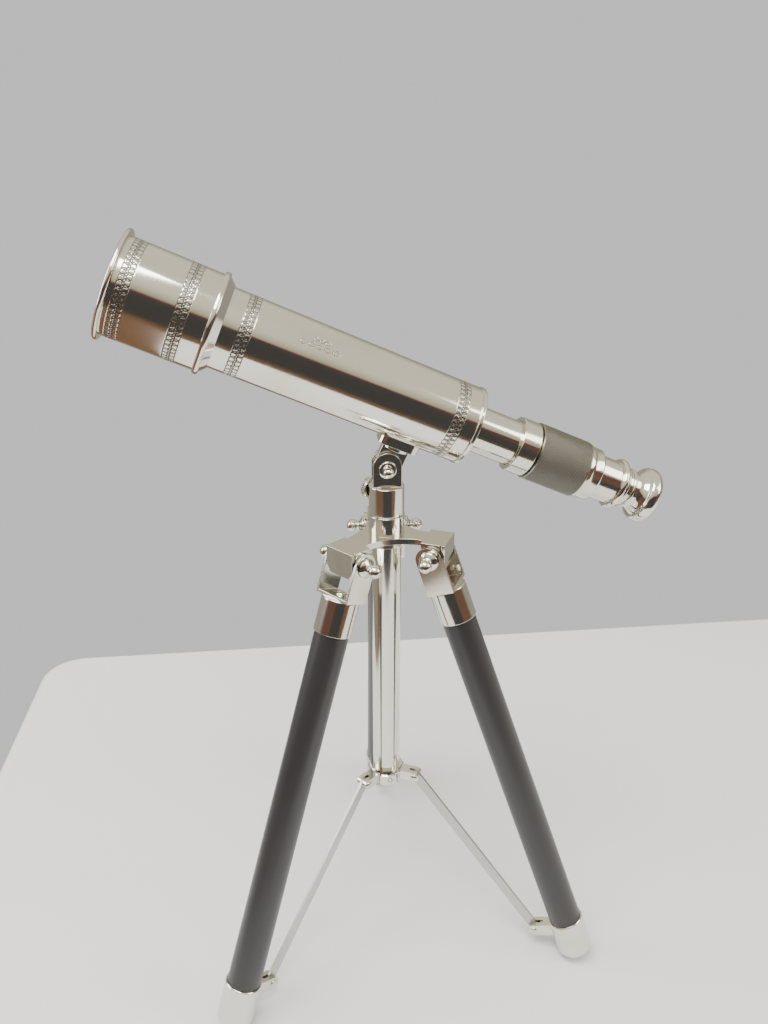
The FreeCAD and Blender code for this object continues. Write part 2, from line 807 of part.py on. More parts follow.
# ---- hub ----
arm_half = arm_width / 2
hub_sleeve_r = hub_sleeve_d / 2
plate_low_z = hub_top_z - hub_plate


def hub_spider():
    """Flat plate with three arms; each arm ends in a lip and carries a boss for its pivot bolt."""
    corner_r = math.hypot(arm_reach, arm_half)
    spread = math.degrees(math.atan2(arm_half, arm_reach))
    edges = []

    def at(radius, azimuth):
        a = math.radians(90.0 - azimuth)
        return Vector(radius * math.cos(a), radius * math.sin(a), plate_low_z)

    following = [right_azimuth, left_azimuth, rear_azimuth + 360.0]
    for azimuth, onward in zip(LEGS.values(), following):
        left, right = at(corner_r, azimuth - spread), at(corner_r, azimuth + spread)
        waist = at(arm_waist_r, (azimuth + onward) / 2)
        edges.append(Part.makeLine(left, right))
        edges.append(Part.Arc(right, waist, at(corner_r, onward - spread)).toShape())
    plate = Part.Face(Part.Wire(edges)).extrude(Vector(0, 0, hub_plate))
    collar_low = Vector(0, 0, plate_low_z - hub_collar)
    plate = plate.fuse(rod(hub_sleeve_r + hub_collar_wall, hub_plate + hub_collar, collar_low, UP))
    lip_low = arm_half - 2.6
    for azimuth in LEGS.values():
        low = -arm_lip_height
        lip_edges = [
            Vector(0, -arm_half, 0), Vector(0, arm_half, 0), Vector(0, arm_half, low + 5.0),
            Vector(0, lip_low, low), Vector(0, -lip_low, low), Vector(0, -arm_half, low + 5.0),
        ]
        lip = Part.Face(Part.makePolygon(lip_edges + lip_edges[:1])).extrude(Vector(arm_lip_thickness, 0, 0))
        lip.translate(Vector(arm_reach - arm_lip_thickness, 0, hub_top_z))
        boss = rod(pivot_boss_d / 2, arm_width, Vector(pivot_r, -arm_half, pivot_z), AXIS_Y)
        web_middle = Vector(pivot_r, 0, (hub_top_z + pivot_z) / 2)
        web = centred_box(pivot_boss_d, arm_width, hub_top_z - pivot_z, web_middle)
        plate = plate.fuse(on_arm(lip, azimuth)).fuse(on_arm(joined([boss, web]), azimuth))
        hole = rod(pivot_bolt_d / 2, arm_width * 2, Vector(pivot_r, -arm_width, pivot_z), AXIS_Y)
        plate = plate.cut(on_arm(hole, azimuth))
    bore = rod(hub_sleeve_r, 40, Vector(0, 0, plate_low_z - 20), UP)
    return plate.cut(bore).removeSplitter()


def hub_sleeve():
    """Bush through the hub that the column slides in; the cap comes down on its top."""
    low = plate_low_z - hub_collar
    top = hub_sleeve_top_z
    bore = post_d / 2 + running
    r = hub_sleeve_r
    return upright(turned([(low, bore), (top, bore), (top, r - 0.4), (top - 0.4, r), (low, r)]))


def bolt_stack(azimuth):
    """Pivot bolt, its two washers and its ball nut, placed across one arm."""
    start = yoke_out + side_gap
    end = start + washer_thickness
    r_bolt = pivot_bolt_d / 2
    washer = turned([
        (start, r_bolt), (start, washer_d / 2), (start + 0.8, washer_d / 2),
        (start + washer_thickness * 0.75, washer_d * 0.36, end, washer_d * 0.24), (end, r_bolt),
    ])
    near_washer = washer.copy()
    near_washer.rotate(ORIGIN, UP, -90)
    far_washer = washer.copy()
    far_washer.rotate(ORIGIN, UP, 90)
    head = ball_head(pivot_ball_d / 2, pivot_neck_d / 2, pivot_ball_d + 0.2)
    head.translate(Vector(end, 0, 0))
    head.rotate(ORIGIN, UP, -90)
    shank = rod(r_bolt, 2 * end + bolt_in_nut, Vector(0, -end, 0), AXIS_Y)
    bolt = joined([shank, head])
    nut = ball_head(pivot_ball_d / 2, pivot_neck_d / 2, pivot_ball_d + 0.2)
    nut.translate(Vector(end, 0, 0))
    nut.rotate(ORIGIN, UP, 90)
    nut = nut.cut(rod(r_bolt, end + bolt_in_nut, ORIGIN, AXIS_Y))
    placed = []
    for piece in (bolt, nut, near_washer, far_washer):
        piece.translate(Vector(pivot_r, 0, pivot_z))
        placed.append(on_arm(piece, azimuth))
    return placed


# ---- motion, worked out from the same values ----
def motion():
    """Ends of the folding motion: column travel and link turn when the legs are folded in."""
    far_r, far_z = in_arm_plane(foot_pin)
    span = math.hypot(far_r - bracket_pin_r, far_z - bracket_pin_z)
    open_slope = math.degrees(math.atan2(far_r - bracket_pin_r, bracket_pin_z - far_z))
    fold = math.radians(leg_fold)
    dx, dz = far_r - pivot_r, far_z - pivot_z
    folded_r = pivot_r + dx * math.cos(fold) + dz * math.sin(fold)
    folded_z = pivot_z - dx * math.sin(fold) + dz * math.cos(fold)
    rise = folded_z + math.sqrt(span ** 2 - (folded_r - bracket_pin_r) ** 2) - bracket_pin_z
    folded_slope = math.degrees(math.asin((folded_r - bracket_pin_r) / span))
    return {"column_rise": rise, "link_turn": open_slope - folded_slope}


# ---- all pieces, by node name ----
def pieces():
    nodes = {}
    scope_parts = {
        "shade_rim": shade_rim, "shade_tube": shade_tube, "shade_ring": shade_ring,
        "objective_cell": objective_cell, "objective_lens": objective_lens, "lens_retainer": lens_retainer,
        "main_barrel": main_barrel, "barrel_end_ring": barrel_end_ring, "draw_tube": draw_tube,
        "draw_stop_ring": draw_stop_ring, "erector_cell": erector_cell, "erector_lenses": erector_lenses,
        "focus_collar": focus_collar, "focus_sleeve": focus_sleeve, "eyepiece_tube": eyepiece_tube,
        "eyepiece_flange": eyepiece_flange, "eye_cup": eye_cup, "eye_lens": eye_lens,
        "field_lens": field_lens, "saddle_pad": saddle_pad,
    }
    for name, make in scope_parts.items():
        nodes[name] = on_scope(make())
    nodes["tilt_tongue"] = on_scope(tilt_tongue(), 0.0)
    fixed_parts = {
        "head_fork": head_fork, "head_cap": head_cap, "tilt_screw": tilt_screw, "tilt_nut": tilt_nut,
        "pan_lock_screw": pan_lock_screw, "center_post": center_post, "bottom_bracket": bottom_bracket,
        "bracket_rivets": bracket_rivets, "bracket_screw": bracket_screw, "hub_spider": hub_spider,
        "hub_sleeve": hub_sleeve,
    }
    for name, make in fixed_parts.items():
        nodes[name] = make()
    nodes["center_post"] = nodes["center_post"].cut(nodes["bracket_screw"])
    nodes["bottom_bracket"] = nodes["bottom_bracket"].cut(nodes["bracket_screw"])
    leg_parts = {
        "leg_yoke": leg_yoke, "yoke_screw": yoke_screw, "leg_ferrule": leg_ferrule, "leg_rod": leg_rod,
        "foot_cup": foot_cup, "foot_tip": foot_tip, "foot_rivets": foot_rivets,
    }
    floor = centred_box(800, 800, 40, Vector(0, 0, -20))
    stacks = []
    for side, azimuth in LEGS.items():
        for name, make in leg_parts.items():
            nodes[f"{name}_{side}"] = on_leg(make(), azimuth)
        nodes[f"foot_tip_{side}"] = nodes[f"foot_tip_{side}"].cut(floor)
        nodes[f"link_{side}"] = on_arm(link_bar(), azimuth)
        stacks.append(bolt_stack(azimuth))
    nodes["pivot_bolts"] = Part.makeCompound([stack[0] for stack in stacks])
    nodes["pivot_nuts"] = Part.makeCompound([stack[1] for stack in stacks])
    nodes["pivot_washers"] = Part.makeCompound([washer for stack in stacks for washer in stack[2:]])
    return nodes


def main():
    os.makedirs("parts", exist_ok=True)
    for name, shape in pieces().items():
        shape.exportStep(f"parts/{name}.step")


if __name__ == "__main__":
    main()
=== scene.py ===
import logging
import math
from dataclasses import dataclass
from enum import Enum
from typing import Any, Callable

import bmesh
import bpy
import numpy as np
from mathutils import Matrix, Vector


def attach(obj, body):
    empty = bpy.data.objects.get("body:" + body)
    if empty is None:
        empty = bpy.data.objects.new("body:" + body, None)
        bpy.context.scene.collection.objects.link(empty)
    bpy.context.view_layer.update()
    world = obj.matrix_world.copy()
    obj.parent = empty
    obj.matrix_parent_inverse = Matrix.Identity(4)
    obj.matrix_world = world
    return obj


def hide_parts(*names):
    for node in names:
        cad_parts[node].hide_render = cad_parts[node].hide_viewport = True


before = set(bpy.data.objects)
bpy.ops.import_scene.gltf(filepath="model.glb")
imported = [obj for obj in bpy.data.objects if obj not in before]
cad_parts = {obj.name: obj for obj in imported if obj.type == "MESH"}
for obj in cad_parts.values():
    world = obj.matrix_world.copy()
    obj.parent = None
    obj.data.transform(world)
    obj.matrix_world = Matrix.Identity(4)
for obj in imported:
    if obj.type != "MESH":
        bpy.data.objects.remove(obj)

# A table telescope on a folding three-legged stand. Sizes are in millimetres, as on a drawing;
# pieces are built in metres in the row's own frame: +Z up the column, objective towards -X.

LOG = logging.getLogger("telescope")
MM = 0.001
Profile = list[tuple[float, float]]
Relief = Callable[[np.ndarray, np.ndarray], tuple[np.ndarray, np.ndarray]]


# ---------------------------------------------------------------- places
@dataclass(frozen=True)
class Spot:
    """A local frame: x runs along a piece, z is its own up, y completes a right-handed set."""

    origin: tuple[float, float, float]
    along: tuple[float, float, float]
    up: tuple[float, float, float]

    def matrix(self) -> np.ndarray:
        """Rows are the local x, y and z directions."""
        along, up = np.array(self.along, float), np.array(self.up, float)
        return np.stack([along, np.cross(up, along), up])

    def to_row(self, local: np.ndarray) -> np.ndarray:
        """Local millimetres to row-frame metres: origin + x*along + y*side + z*up.

        Args:
            local: points as (n, 3).
        Returns:
            The same points in metres.
        """
        return (local @ self.matrix() + np.array(self.origin, float)) * MM

    def to_local(self, row: np.ndarray) -> np.ndarray:
        """Row-frame metres back to local millimetres.

        Args:
            row: points as (n, 3) in metres.
        Returns:
            The same points in the local frame.
        """
        return (row / MM - np.array(self.origin, float)) @ self.matrix().T


ELEVATION = math.radians(23.4)
TILT_Z = 307.0
AXIS_LIFT = 36.7
ALONG_TUBE = (math.cos(ELEVATION), 0.0, -math.sin(ELEVATION))
TUBE_UP = (math.sin(ELEVATION), 0.0, math.cos(ELEVATION))
TUBE = Spot((TUBE_UP[0] * AXIS_LIFT, 0.0, TILT_Z + TUBE_UP[2] * AXIS_LIFT), ALONG_TUBE, TUBE_UP)
COLUMN = Spot((0.0, 0.0, 0.0), (0.0, 0.0, 1.0), (0.0, 1.0, 0.0))


class Side(Enum):
    """The three legs and the direction of each, in degrees clockwise from +Y seen from above."""

    REAR = 4.0
    RIGHT = 116.0
    LEFT = 230.0

    def outward(self) -> np.ndarray:
        """Unit vector from the column out along this arm."""
        turn = math.radians(self.value)
        return np.array([math.sin(turn), math.cos(turn), 0.0])

    def across(self) -> np.ndarray:
        """Unit vector along this arm's bolts."""
        turn = math.radians(self.value)
        return np.array([-math.cos(turn), math.sin(turn), 0.0])

    def label(self) -> str:
        """Lower-case name used in node and piece names."""
        return self.name.lower()


# ---------------------------------------------------------------- shader maths
class Value:
    """A shader socket that can be used in Python arithmetic; each operation adds a Math node."""

    def __init__(self, paint: "Paint", socket: Any) -> None:
        """Wraps a socket of the material that paint is building."""
        self.paint = paint
        self.socket = socket

    def _math(self, operation: str, first: Any, second: Any) -> "Value":
        """Adds one Math node and returns its output."""
        return self.paint.node("ShaderNodeMath", {"operation": operation}, {0: first, 1: second})

    def __add__(self, other: Any) -> "Value":
        """self + other."""
        return self._math("ADD", self, other)

    def __radd__(self, other: Any) -> "Value":
        """other + self."""
        return self._math("ADD", other, self)

    def __sub__(self, other: Any) -> "Value":
        """self - other."""
        return self._math("SUBTRACT", self, other)

    def __rsub__(self, other: Any) -> "Value":
        """other - self."""
        return self._math("SUBTRACT", other, self)

    def __mul__(self, other: Any) -> "Value":
        """self * other."""
        return self._math("MULTIPLY", self, other)

    def __rmul__(self, other: Any) -> "Value":
        """other * self."""
        return self._math("MULTIPLY", other, self)

    def __pow__(self, other: Any) -> "Value":
        """self to the power other."""
        return self._math("POWER", self, other)


class Paint:
    """Builds one node material."""

    def __init__(self, name: str) -> None:
        """Starts an empty material with a Principled shader."""
        self.material = bpy.data.materials.new(name)
        self.material.use_nodes = True
        self.tree = self.material.node_tree
        self.shader = self.tree.nodes["Principled BSDF"]

    @classmethod
    def over(cls, tree: bpy.types.NodeTree) -> "Paint":
        """Returns a painter for a tree that isn't a material's, such as the world's."""
        paint = cls.__new__(cls)
        paint.tree = tree
        return paint

    def node(self, kind: str, settings: dict[str, Any], inputs: dict[Any, Any], out: Any = 0) -> Value:
        """Adds a node.

        Args:
            kind: the node's type name.
            settings: its options, set first; "stops" gives a ramp's (position, colour) pairs.
            inputs: value or link for each input socket, by name or number.
            out: the output socket wanted, by name or number.
        Returns:
            The chosen output, ready for arithmetic.
        """
        made = self.tree.nodes.new(kind)
        for key, value in settings.items():
            if key == "stops":
                ramp = made.color_ramp.elements
                for spare in list(ramp)[1:]:
                    ramp.remove(spare)
                for place, colour in value[1:]:
                    ramp.new(place).color = colour
                ramp[0].position, ramp[0].color = value[0]
            else:
                setattr(made, key, value)
        for key, value in inputs.items():
            self.feed(made.inputs[key], value)
        return Value(self, made.outputs[out])

    def feed(self, socket: Any, value: Any) -> None:
        """Links a Value to a socket, or sets the socket to a plain value."""
        if isinstance(value, Value):
            self.tree.links.new(value.socket, socket)
        else:
            socket.default_value = value

    def set(self, **sockets: Any) -> None:
        """Feeds the Principled shader; underscores in a name stand for spaces."""
        for name, value in sockets.items():
            self.feed(self.shader.inputs[name.replace("_", " ")], value)

    def place(self) -> Value:
        """Object coordinates, in metres."""
        return self.node("ShaderNodeTexCoord", {}, {}, "Object")

    def own(self) -> Value:
        """The piece's own coordinates in millimetres: x along it, z its own up."""
        return self.node("ShaderNodeAttribute", {"attribute_name": "own"}, {}, "Vector")

    def cut(self) -> Value:
        """How deep the surface is cut at a point, 0 to 1."""
        return self.node("ShaderNodeAttribute", {"attribute_name": "cut"}, {}, "Fac")

    def scaled(self, vector: Value, scale: tuple[float, float, float]) -> Value:
        """A vector with each part multiplied."""
        return self.node("ShaderNodeMapping", {"vector_type": "POINT"}, {"Vector": vector, "Scale": scale})

    def noise(self, vector: Value, scale: float, detail: float = 3.0, rough: float = 0.5) -> Value:
        """Cloudy noise, 0 to 1."""
        inputs = {"Vector": vector, "Scale": scale, "Detail": detail, "Roughness": rough}
        return self.node("ShaderNodeTexNoise", {}, inputs, "Fac")

    def ramp(self, value: Value, low: float, high: float) -> Value:
        """Stretches low..high to 0..1 and clamps."""
        settings = {"clamp": True, "interpolation_type": "SMOOTHSTEP"}
        return self.node("ShaderNodeMapRange", settings, {"Value": value, "From Min": low, "From Max": high})

    def blend(self, share: Any, first: Any, second: Any) -> Value:
        """Mixes two colours."""
        made = self.tree.nodes.new("ShaderNodeMix")
        made.data_type = "RGBA"
        for number, value in ((0, share), (6, first), (7, second)):
            self.feed(made.inputs[number], value)
        return Value(self, made.outputs[2])

    def bump(self, height: Value, strength: float, distance: float) -> Value:
        """Surface relief from a height, for the shader's Normal."""
        inputs = {"Height": height, "Strength": strength, "Distance": distance}
        return self.node("ShaderNodeBump", {}, inputs, "Normal")


Colour = tuple[float, float, float, float]


@dataclass(frozen=True)
class NickelPlate:
    """Bright nickel plate: warm silver, hand-wiped, with hair scratches and dark in its cuts."""

    name: str
    slot: str = "nickel"
    tone: Colour = (0.73, 0.715, 0.64, 1.0)
    warm: Colour = (0.62, 0.57, 0.44, 1.0)
    dark: Colour = (0.035, 0.03, 0.028, 1.0)
    roughness: float = 0.075
    scratches: float = 0.05

    def build(self) -> bpy.types.Material:
        """Returns the finished material."""
        paint = Paint(self.name)
        place = paint.place()
        wiped = paint.noise(place, 38.0, 4.0, 0.6)
        tarnish = paint.ramp(paint.noise(place, 21.0, 5.0, 0.65), 0.48, 0.8)
        hair = paint.noise(paint.scaled(place, (260.0, 2400.0, 900.0)), 1.0, 2.0, 0.5)
        specks = paint.ramp(paint.noise(place, 2600.0, 1.0, 0.5), 0.7, 0.8)
        cut = paint.cut()
        plated = paint.blend(tarnish * 0.55, self.tone, self.warm)
        specked = paint.blend(specks * 0.35, plated, self.warm)
        paint.set(
            Metallic=1.0,
            Base_Color=paint.blend(cut * 0.93, specked, self.dark),
            Roughness=self.roughness + wiped * 0.07 + tarnish * 0.06 + cut * 0.35,
            Normal=paint.bump(hair + wiped * 0.5, self.scratches, 0.00002),
        )
        return paint.material


@dataclass(frozen=True)
class BrushedStrip:
    """Rolled strip with fine draw lines along its length."""

    name: str
    slot: str = "brushed_nickel"
    light: Colour = (0.66, 0.65, 0.61, 1.0)
    shade: Colour = (0.40, 0.38, 0.35, 1.0)

    def build(self) -> bpy.types.Material:
        """Returns the finished material."""
        paint = Paint(self.name)
        lines = paint.noise(paint.scaled(paint.own(), (0.05, 9.0, 9.0)), 1.0, 4.0, 0.7)
        dulled = paint.noise(paint.place(), 60.0, 3.0)
        paint.set(
            Metallic=1.0,
            Base_Color=paint.blend(lines * 0.6 + dulled * 0.25, self.light, self.shade),
            Roughness=0.24 + lines * 0.16 + dulled * 0.06,
            Normal=paint.bump(lines, 0.18, 0.00004),
        )
        return paint.material


@dataclass(frozen=True)
class BlackLacquer:
    """Ebonised wood under satin lacquer: the grain shows only as relief and a faint brown."""

    name: str
    slot: str = "black_wood"
    black: Colour = (0.016, 0.016, 0.019, 1.0)
    grain: Colour = (0.034, 0.031, 0.031, 1.0)

    def build(self) -> bpy.types.Material:
        """Returns the finished material."""
        paint = Paint(self.name)
        own = paint.own()
        fibres = paint.noise(paint.scaled(own, (0.035, 1.5, 1.5)), 1.0, 5.0, 0.65)
        pores = paint.ramp(paint.noise(paint.scaled(own, (0.12, 5.0, 5.0)), 1.0, 2.0), 0.62, 0.72)
        rubbed = paint.noise(paint.place(), 30.0, 3.0)
        paint.set(
            Base_Color=paint.blend(fibres * 0.7, self.black, self.grain),
            Roughness=0.36 + rubbed * 0.14 + pores * 0.12,
            Coat_Weight=0.18 + rubbed * 0.12,
            Normal=paint.bump(fibres * 0.6 - pores * 0.5, 0.22, 0.0001),
        )
        paint.set(Coat_Roughness=0.28, IOR=1.5)
        return paint.material


@dataclass(frozen=True)
class BlackenedBrass:
    """Matt black inside a tube, thinly worn to brass on its high spots."""

    name: str
    slot: str = "blackened_brass"
    black: Colour = (0.018, 0.018, 0.02, 1.0)
    worn: Colour = (0.16, 0.12, 0.06, 1.0)

    def build(self) -> bpy.types.Material:
        """Returns the finished material."""
        paint = Paint(self.name)
        place = paint.place()
        worn = paint.ramp(paint.noise(place, 900.0, 3.0, 0.6), 0.62, 0.8)
        cloud = paint.noise(place, 120.0, 3.0)
        paint.set(
            Base_Color=paint.blend(worn * 0.4, self.black, self.worn),
            Metallic=worn * 0.5,
            Roughness=0.55 + cloud * 0.25,
            Normal=paint.bump(cloud, 0.15, 0.00005),
        )
        return paint.material


@dataclass(frozen=True)
class ClearGlass:
    """Polished lens glass with a breath of dust."""

    name: str
    slot: str = "lens_glass"
    clear: Colour = (0.93, 0.97, 0.95, 1.0)
    dusty: Colour = (0.80, 0.84, 0.82, 1.0)

    def build(self) -> bpy.types.Material:
        """Returns the finished material."""
        paint = Paint(self.name)
        dust = paint.ramp(paint.noise(paint.place(), 420.0, 4.0, 0.7), 0.5, 0.8)
        paint.set(
            Base_Color=paint.blend(dust * 0.4, self.clear, self.dusty),
            Roughness=0.01 + dust * 0.05,
            Coat_Weight=0.25 + dust * 0.2,
        )
        paint.set(Transmission_Weight=1.0, IOR=1.52, Coat_Roughness=0.02)
        return paint.material


class Finish(Enum):
    """The finishes of this telescope."""

    NICKEL = NickelPlate("nickel_plate")
    KNURL = NickelPlate("nickel_knurl", "knurled_nickel", (0.36, 0.35, 0.29, 1.0), (0.26, 0.245, 0.185, 1.0),
                        (0.05, 0.048, 0.045, 1.0), 0.24, 0.08)
    STRIP = BrushedStrip("brushed_strip")
    WOOD = BlackLacquer("black_lacquer")
    BLACKENED = BlackenedBrass("blackened_brass")
    GLASS = ClearGlass("lens_glass_clear")

    def material(self) -> bpy.types.Material:
        """The finish's material, built the first time it is asked for."""
        return bpy.data.materials.get(self.value.name) or self.value.build()


# ---------------------------------------------------------------- surfaces
def eased(profile: Profile, ease: float = 0.35) -> Profile:
    """Rounds each corner of a closed profile.

    A corner becomes a quadratic curve between two points on its sides, at most ease away, with a
    further point just beyond each end so that the straight sides stay straight.

    Args:
        profile: closed (u, radius) outline; a corner on the axis stays as it is.
        ease: size of the rounding in millimetres.
    Returns:
        The rounded outline.
    """
    corners = [np.array(point, float) for point in profile]
    count = len(corners)
    rounded: Profile = []
    for number, corner in enumerate(corners):
        before, after = corners[number - 1], corners[(number + 1) % count]
        to_before, to_after = before - corner, after - corner
        near, far = np.linalg.norm(to_before), np.linalg.norm(to_after)
        size = min(ease, near * 0.36, far * 0.36)
        if corner[1] < 1e-6 or size < 0.02:
            rounded.append((float(corner[0]), float(corner[1])))
            continue
        a, b = corner + to_before / near * size, corner + to_after / far * size
        rounded.append(tuple(corner + to_before / near * size * 1.3))
        for share in (0.0, 0.33, 0.67, 1.0):
            point = a * (1 - share) ** 2 + corner * 2 * share * (1 - share) + b * share ** 2
            rounded.append(tuple(point))
        rounded.append(tuple(corner + to_after / far * size * 1.3))
    return rounded


def arc(start: tuple[float, float], through: tuple[float, float], end: tuple[float, float],
        steps: int = 10) -> Profile:
    """Points of the circle through three points, from start up to but not including end.

    Args:
        start: first point (u, radius).
        through: a point on the way.
        end: last point.
        steps: number of points.
    Returns:
        The points along the circle.
    """
    (ax, ay), (bx, by), (cx, cy) = start, through, end
    d = 2 * (ax * (by - cy) + bx * (cy - ay) + cx * (ay - by))
    a2, b2, c2 = ax * ax + ay * ay, bx * bx + by * by, cx * cx + cy * cy
    centre = np.array([(a2 * (by - cy) + b2 * (cy - ay) + c2 * (ay - by)) / d,
                       (a2 * (cx - bx) + b2 * (ax - cx) + c2 * (bx - ax)) / d])
    first = math.atan2(ay - centre[1], ax - centre[0])
    middle = (math.atan2(by - centre[1], bx - centre[0]) - first) % (2 * math.pi)
    last = (math.atan2(cy - centre[1], cx - centre[0]) - first) % (2 * math.pi)
    if middle > last:
        last -= 2 * math.pi
    turn = first + last * np.arange(steps) / steps
    radius = math.hypot(ax - centre[0], ay - centre[1])
    return list(zip(centre[0] + radius * np.cos(turn), centre[1] + radius * np.sin(turn)))


def finish_mesh(name: str, points: np.ndarray, faces: np.ndarray, own: np.ndarray, cut: np.ndarray,
                body: str, finish: Finish, nodes: tuple[str, ...]) -> bpy.types.Object:
    """Makes the object of a finished surface and fastens it to its body.

    Args:
        name: piece name.
        points: (n, 3) vertices in metres.
        faces: (m, 4) vertex numbers; a triangle repeats its last number.
        own: (n, 3) coordinates in the piece's own frame, kept for the finish.
        cut: (n,) depth of cut for the finish, 0 to 1.
        body: CAD body it rides on.
        finish: its finish.
        nodes: CAD nodes that it stands for.
    Returns:
        The new object.
    """
    a, b, c, d = (points[faces[:, k]] for k in range(4))
    volume = np.einsum("ij,ij->i", a, np.cross(b, c)).sum() + np.einsum("ij,ij->i", a, np.cross(c, d)).sum()
    if volume < 0:
        faces = faces[:, ::-1]
    corners = [tuple(dict.fromkeys(face)) for face in faces.tolist()]
    mesh = bpy.data.meshes.new(name)
    mesh.from_pydata(points.tolist(), [], [face for face in corners if len(face) > 2])
    mesh.polygons.foreach_set("use_smooth", [True] * len(mesh.polygons))
    owned = mesh.attributes.new("own", "FLOAT_VECTOR", "POINT")
    owned.data.foreach_set("vector", own.astype(np.float32).ravel())
    mesh.attributes.new("cut", "FLOAT", "POINT").data.foreach_set("value", cut.astype(np.float32))
    mesh.set_sharp_from_angle(angle=math.radians(40.0))
    mesh.update()
    return fasten(bpy.data.objects.new(name, mesh), body, finish, nodes)


def fasten(piece: bpy.types.Object, body: str, finish: Finish, nodes: tuple[str, ...]) -> bpy.types.Object:
    """Dresses a piece, lets it ride on its body and stand for its CAD nodes.

    Args:
        piece: the new object.
        body: CAD body it rides on.
        finish: its finish.
        nodes: CAD nodes that it stands for.
    Returns:
        The same object.
    """
    bpy.context.scene.collection.objects.link(piece)
    piece.data.materials.clear()
    piece.data.materials.append(finish.material())
    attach(piece, body)
    if nodes:
        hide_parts(*nodes)
    LOG.info("%s: %d faces on %s", piece.name, len(piece.data.polygons), body)
    return piece


def turned(name: str, spot: Spot, profile: Profile, body: str, finish: Finish, nodes: tuple[str, ...] = (),
           around: int = 128, relief: Relief | None = None) -> bpy.types.Object:
    """A piece turned about its own x axis.

    Point (i, j) of the grid is profile point i turned by j/around of a circle:
    (u, r*sin(turn), r*cos(turn)). The outline is closed, so the surface is closed too; a row on the axis
    is one point. A relief adds its height to r.

    Args:
        name: piece name.
        spot: its frame.
        profile: closed (u, radius) outline.
        body: CAD body it rides on.
        finish: its finish.
        nodes: CAD nodes that it stands for.
        around: points round the circle.
        relief: gives (height, cut) from u and turn, for points off the axis.
    Returns:
        The new object.
    """
    outline = np.array(profile, float)
    rows = len(outline)
    turn = np.arange(around) * 2 * math.pi / around
    u = np.repeat(outline[:, :1], around, axis=1)
    r = np.repeat(outline[:, 1:], around, axis=1)
    cut = np.zeros_like(u)
    if relief is not None:
        height, cut = relief(u, np.broadcast_to(turn, u.shape))
        outer = r >= outline[:, 1].max() - 0.2
        r = np.where(outer, r + height, r)
        cut = np.where(outer, cut, 0.0)
    local = np.stack([u, r * np.sin(turn), r * np.cos(turn)], axis=-1)
    numbers = np.arange(rows * around).reshape(rows, around)
    on_axis = outline[:, 1] < 1e-6
    numbers[on_axis] = numbers[on_axis][:, :1]
    following = np.roll(numbers, -1, axis=0)
    keep = ~(on_axis & np.roll(on_axis, -1))
    near, far = numbers[keep], following[keep]
    grid = np.stack([near, np.roll(near, -1, 1), np.roll(far, -1, 1), far], axis=-1).reshape(-1, 4)
    used, compact = np.unique(grid, return_inverse=True)
    local = local.reshape(-1, 3)[used]
    return finish_mesh(name, spot.to_row(local), compact.reshape(-1, 4), local, cut.reshape(-1)[used],
                       body, finish, nodes)


def softened(name: str, node: str, spot: Spot, body: str, finish: Finish,
             ease: float = 0.3) -> bpy.types.Object:
    """A sawn or cast piece with its edges broken: the CAD shape, welded, with every sharp edge rounded.

    Args:
        name: piece name.
        node: the CAD node whose shape it keeps.
        spot: frame for its own coordinates.
        body: CAD body it rides on.
        finish: its finish.
        ease: width of the rounding in millimetres.
    Returns:
        The new object.
    """
    shape = bmesh.new()
    shape.from_mesh(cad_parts[node].data)
    bmesh.ops.remove_doubles(shape, verts=shape.verts[:], dist=2e-6)
    bmesh.ops.dissolve_limit(shape, angle_limit=math.radians(1.0), verts=shape.verts[:], edges=shape.edges[:])
    mesh = bpy.data.meshes.new(name + "_sawn")
    shape.to_mesh(mesh)
    shape.free()
    mesh.polygons.foreach_set("use_smooth", [True] * len(mesh.polygons))
    rough = bpy.data.objects.new(name + "_sawn", mesh)
    bpy.context.scene.collection.objects.link(rough)
    bevel = rough.modifiers.new("edges", "BEVEL")
    bevel.width = ease * MM
    bevel.segments = 3
    bevel.limit_method = "ANGLE"
    bevel.angle_limit = math.radians(38.0)
    smooth = rough.modifiers.new("shading", "WEIGHTED_NORMAL")
    smooth.weight = 90
    bpy.context.view_layer.update()
    done = bpy.data.meshes.new_from_object(rough.evaluated_get(bpy.context.evaluated_depsgraph_get()))
    bpy.data.objects.remove(rough)
    done.name = name
    points = np.zeros(len(done.vertices) * 3, np.float32)
    done.vertices.foreach_get("co", points)
    own = spot.to_local(points.reshape(-1, 3).astype(float)).astype(np.float32)
    done.attributes.new("own", "FLOAT_VECTOR", "POINT").data.foreach_set("vector", own.ravel())
    return fasten(bpy.data.objects.new(name, done), body, finish, (node,))


def ball_profile(radius: float, neck: float, length: float) -> Profile:
    """Ball on a short neck: neck from 0, ball ending at length.

    Args:
        radius: ball radius.
        neck: neck radius.
        length: distance from the seat to the ball's top.
    Returns:
        The outline, from the axis at the seat to the axis at the top.
    """
    centre = length - radius
    meet = math.sqrt(radius ** 2 - neck ** 2)
    start = math.pi - math.atan2(neck, meet)
    turn = np.linspace(start, 0.0, 22)
    ball = list(zip(centre + radius * np.cos(turn), radius * np.sin(turn)))
    return [(0.0, 0.0), (0.0, neck + 0.35), (0.35, neck), *ball[:-1], (length, 0.0)]


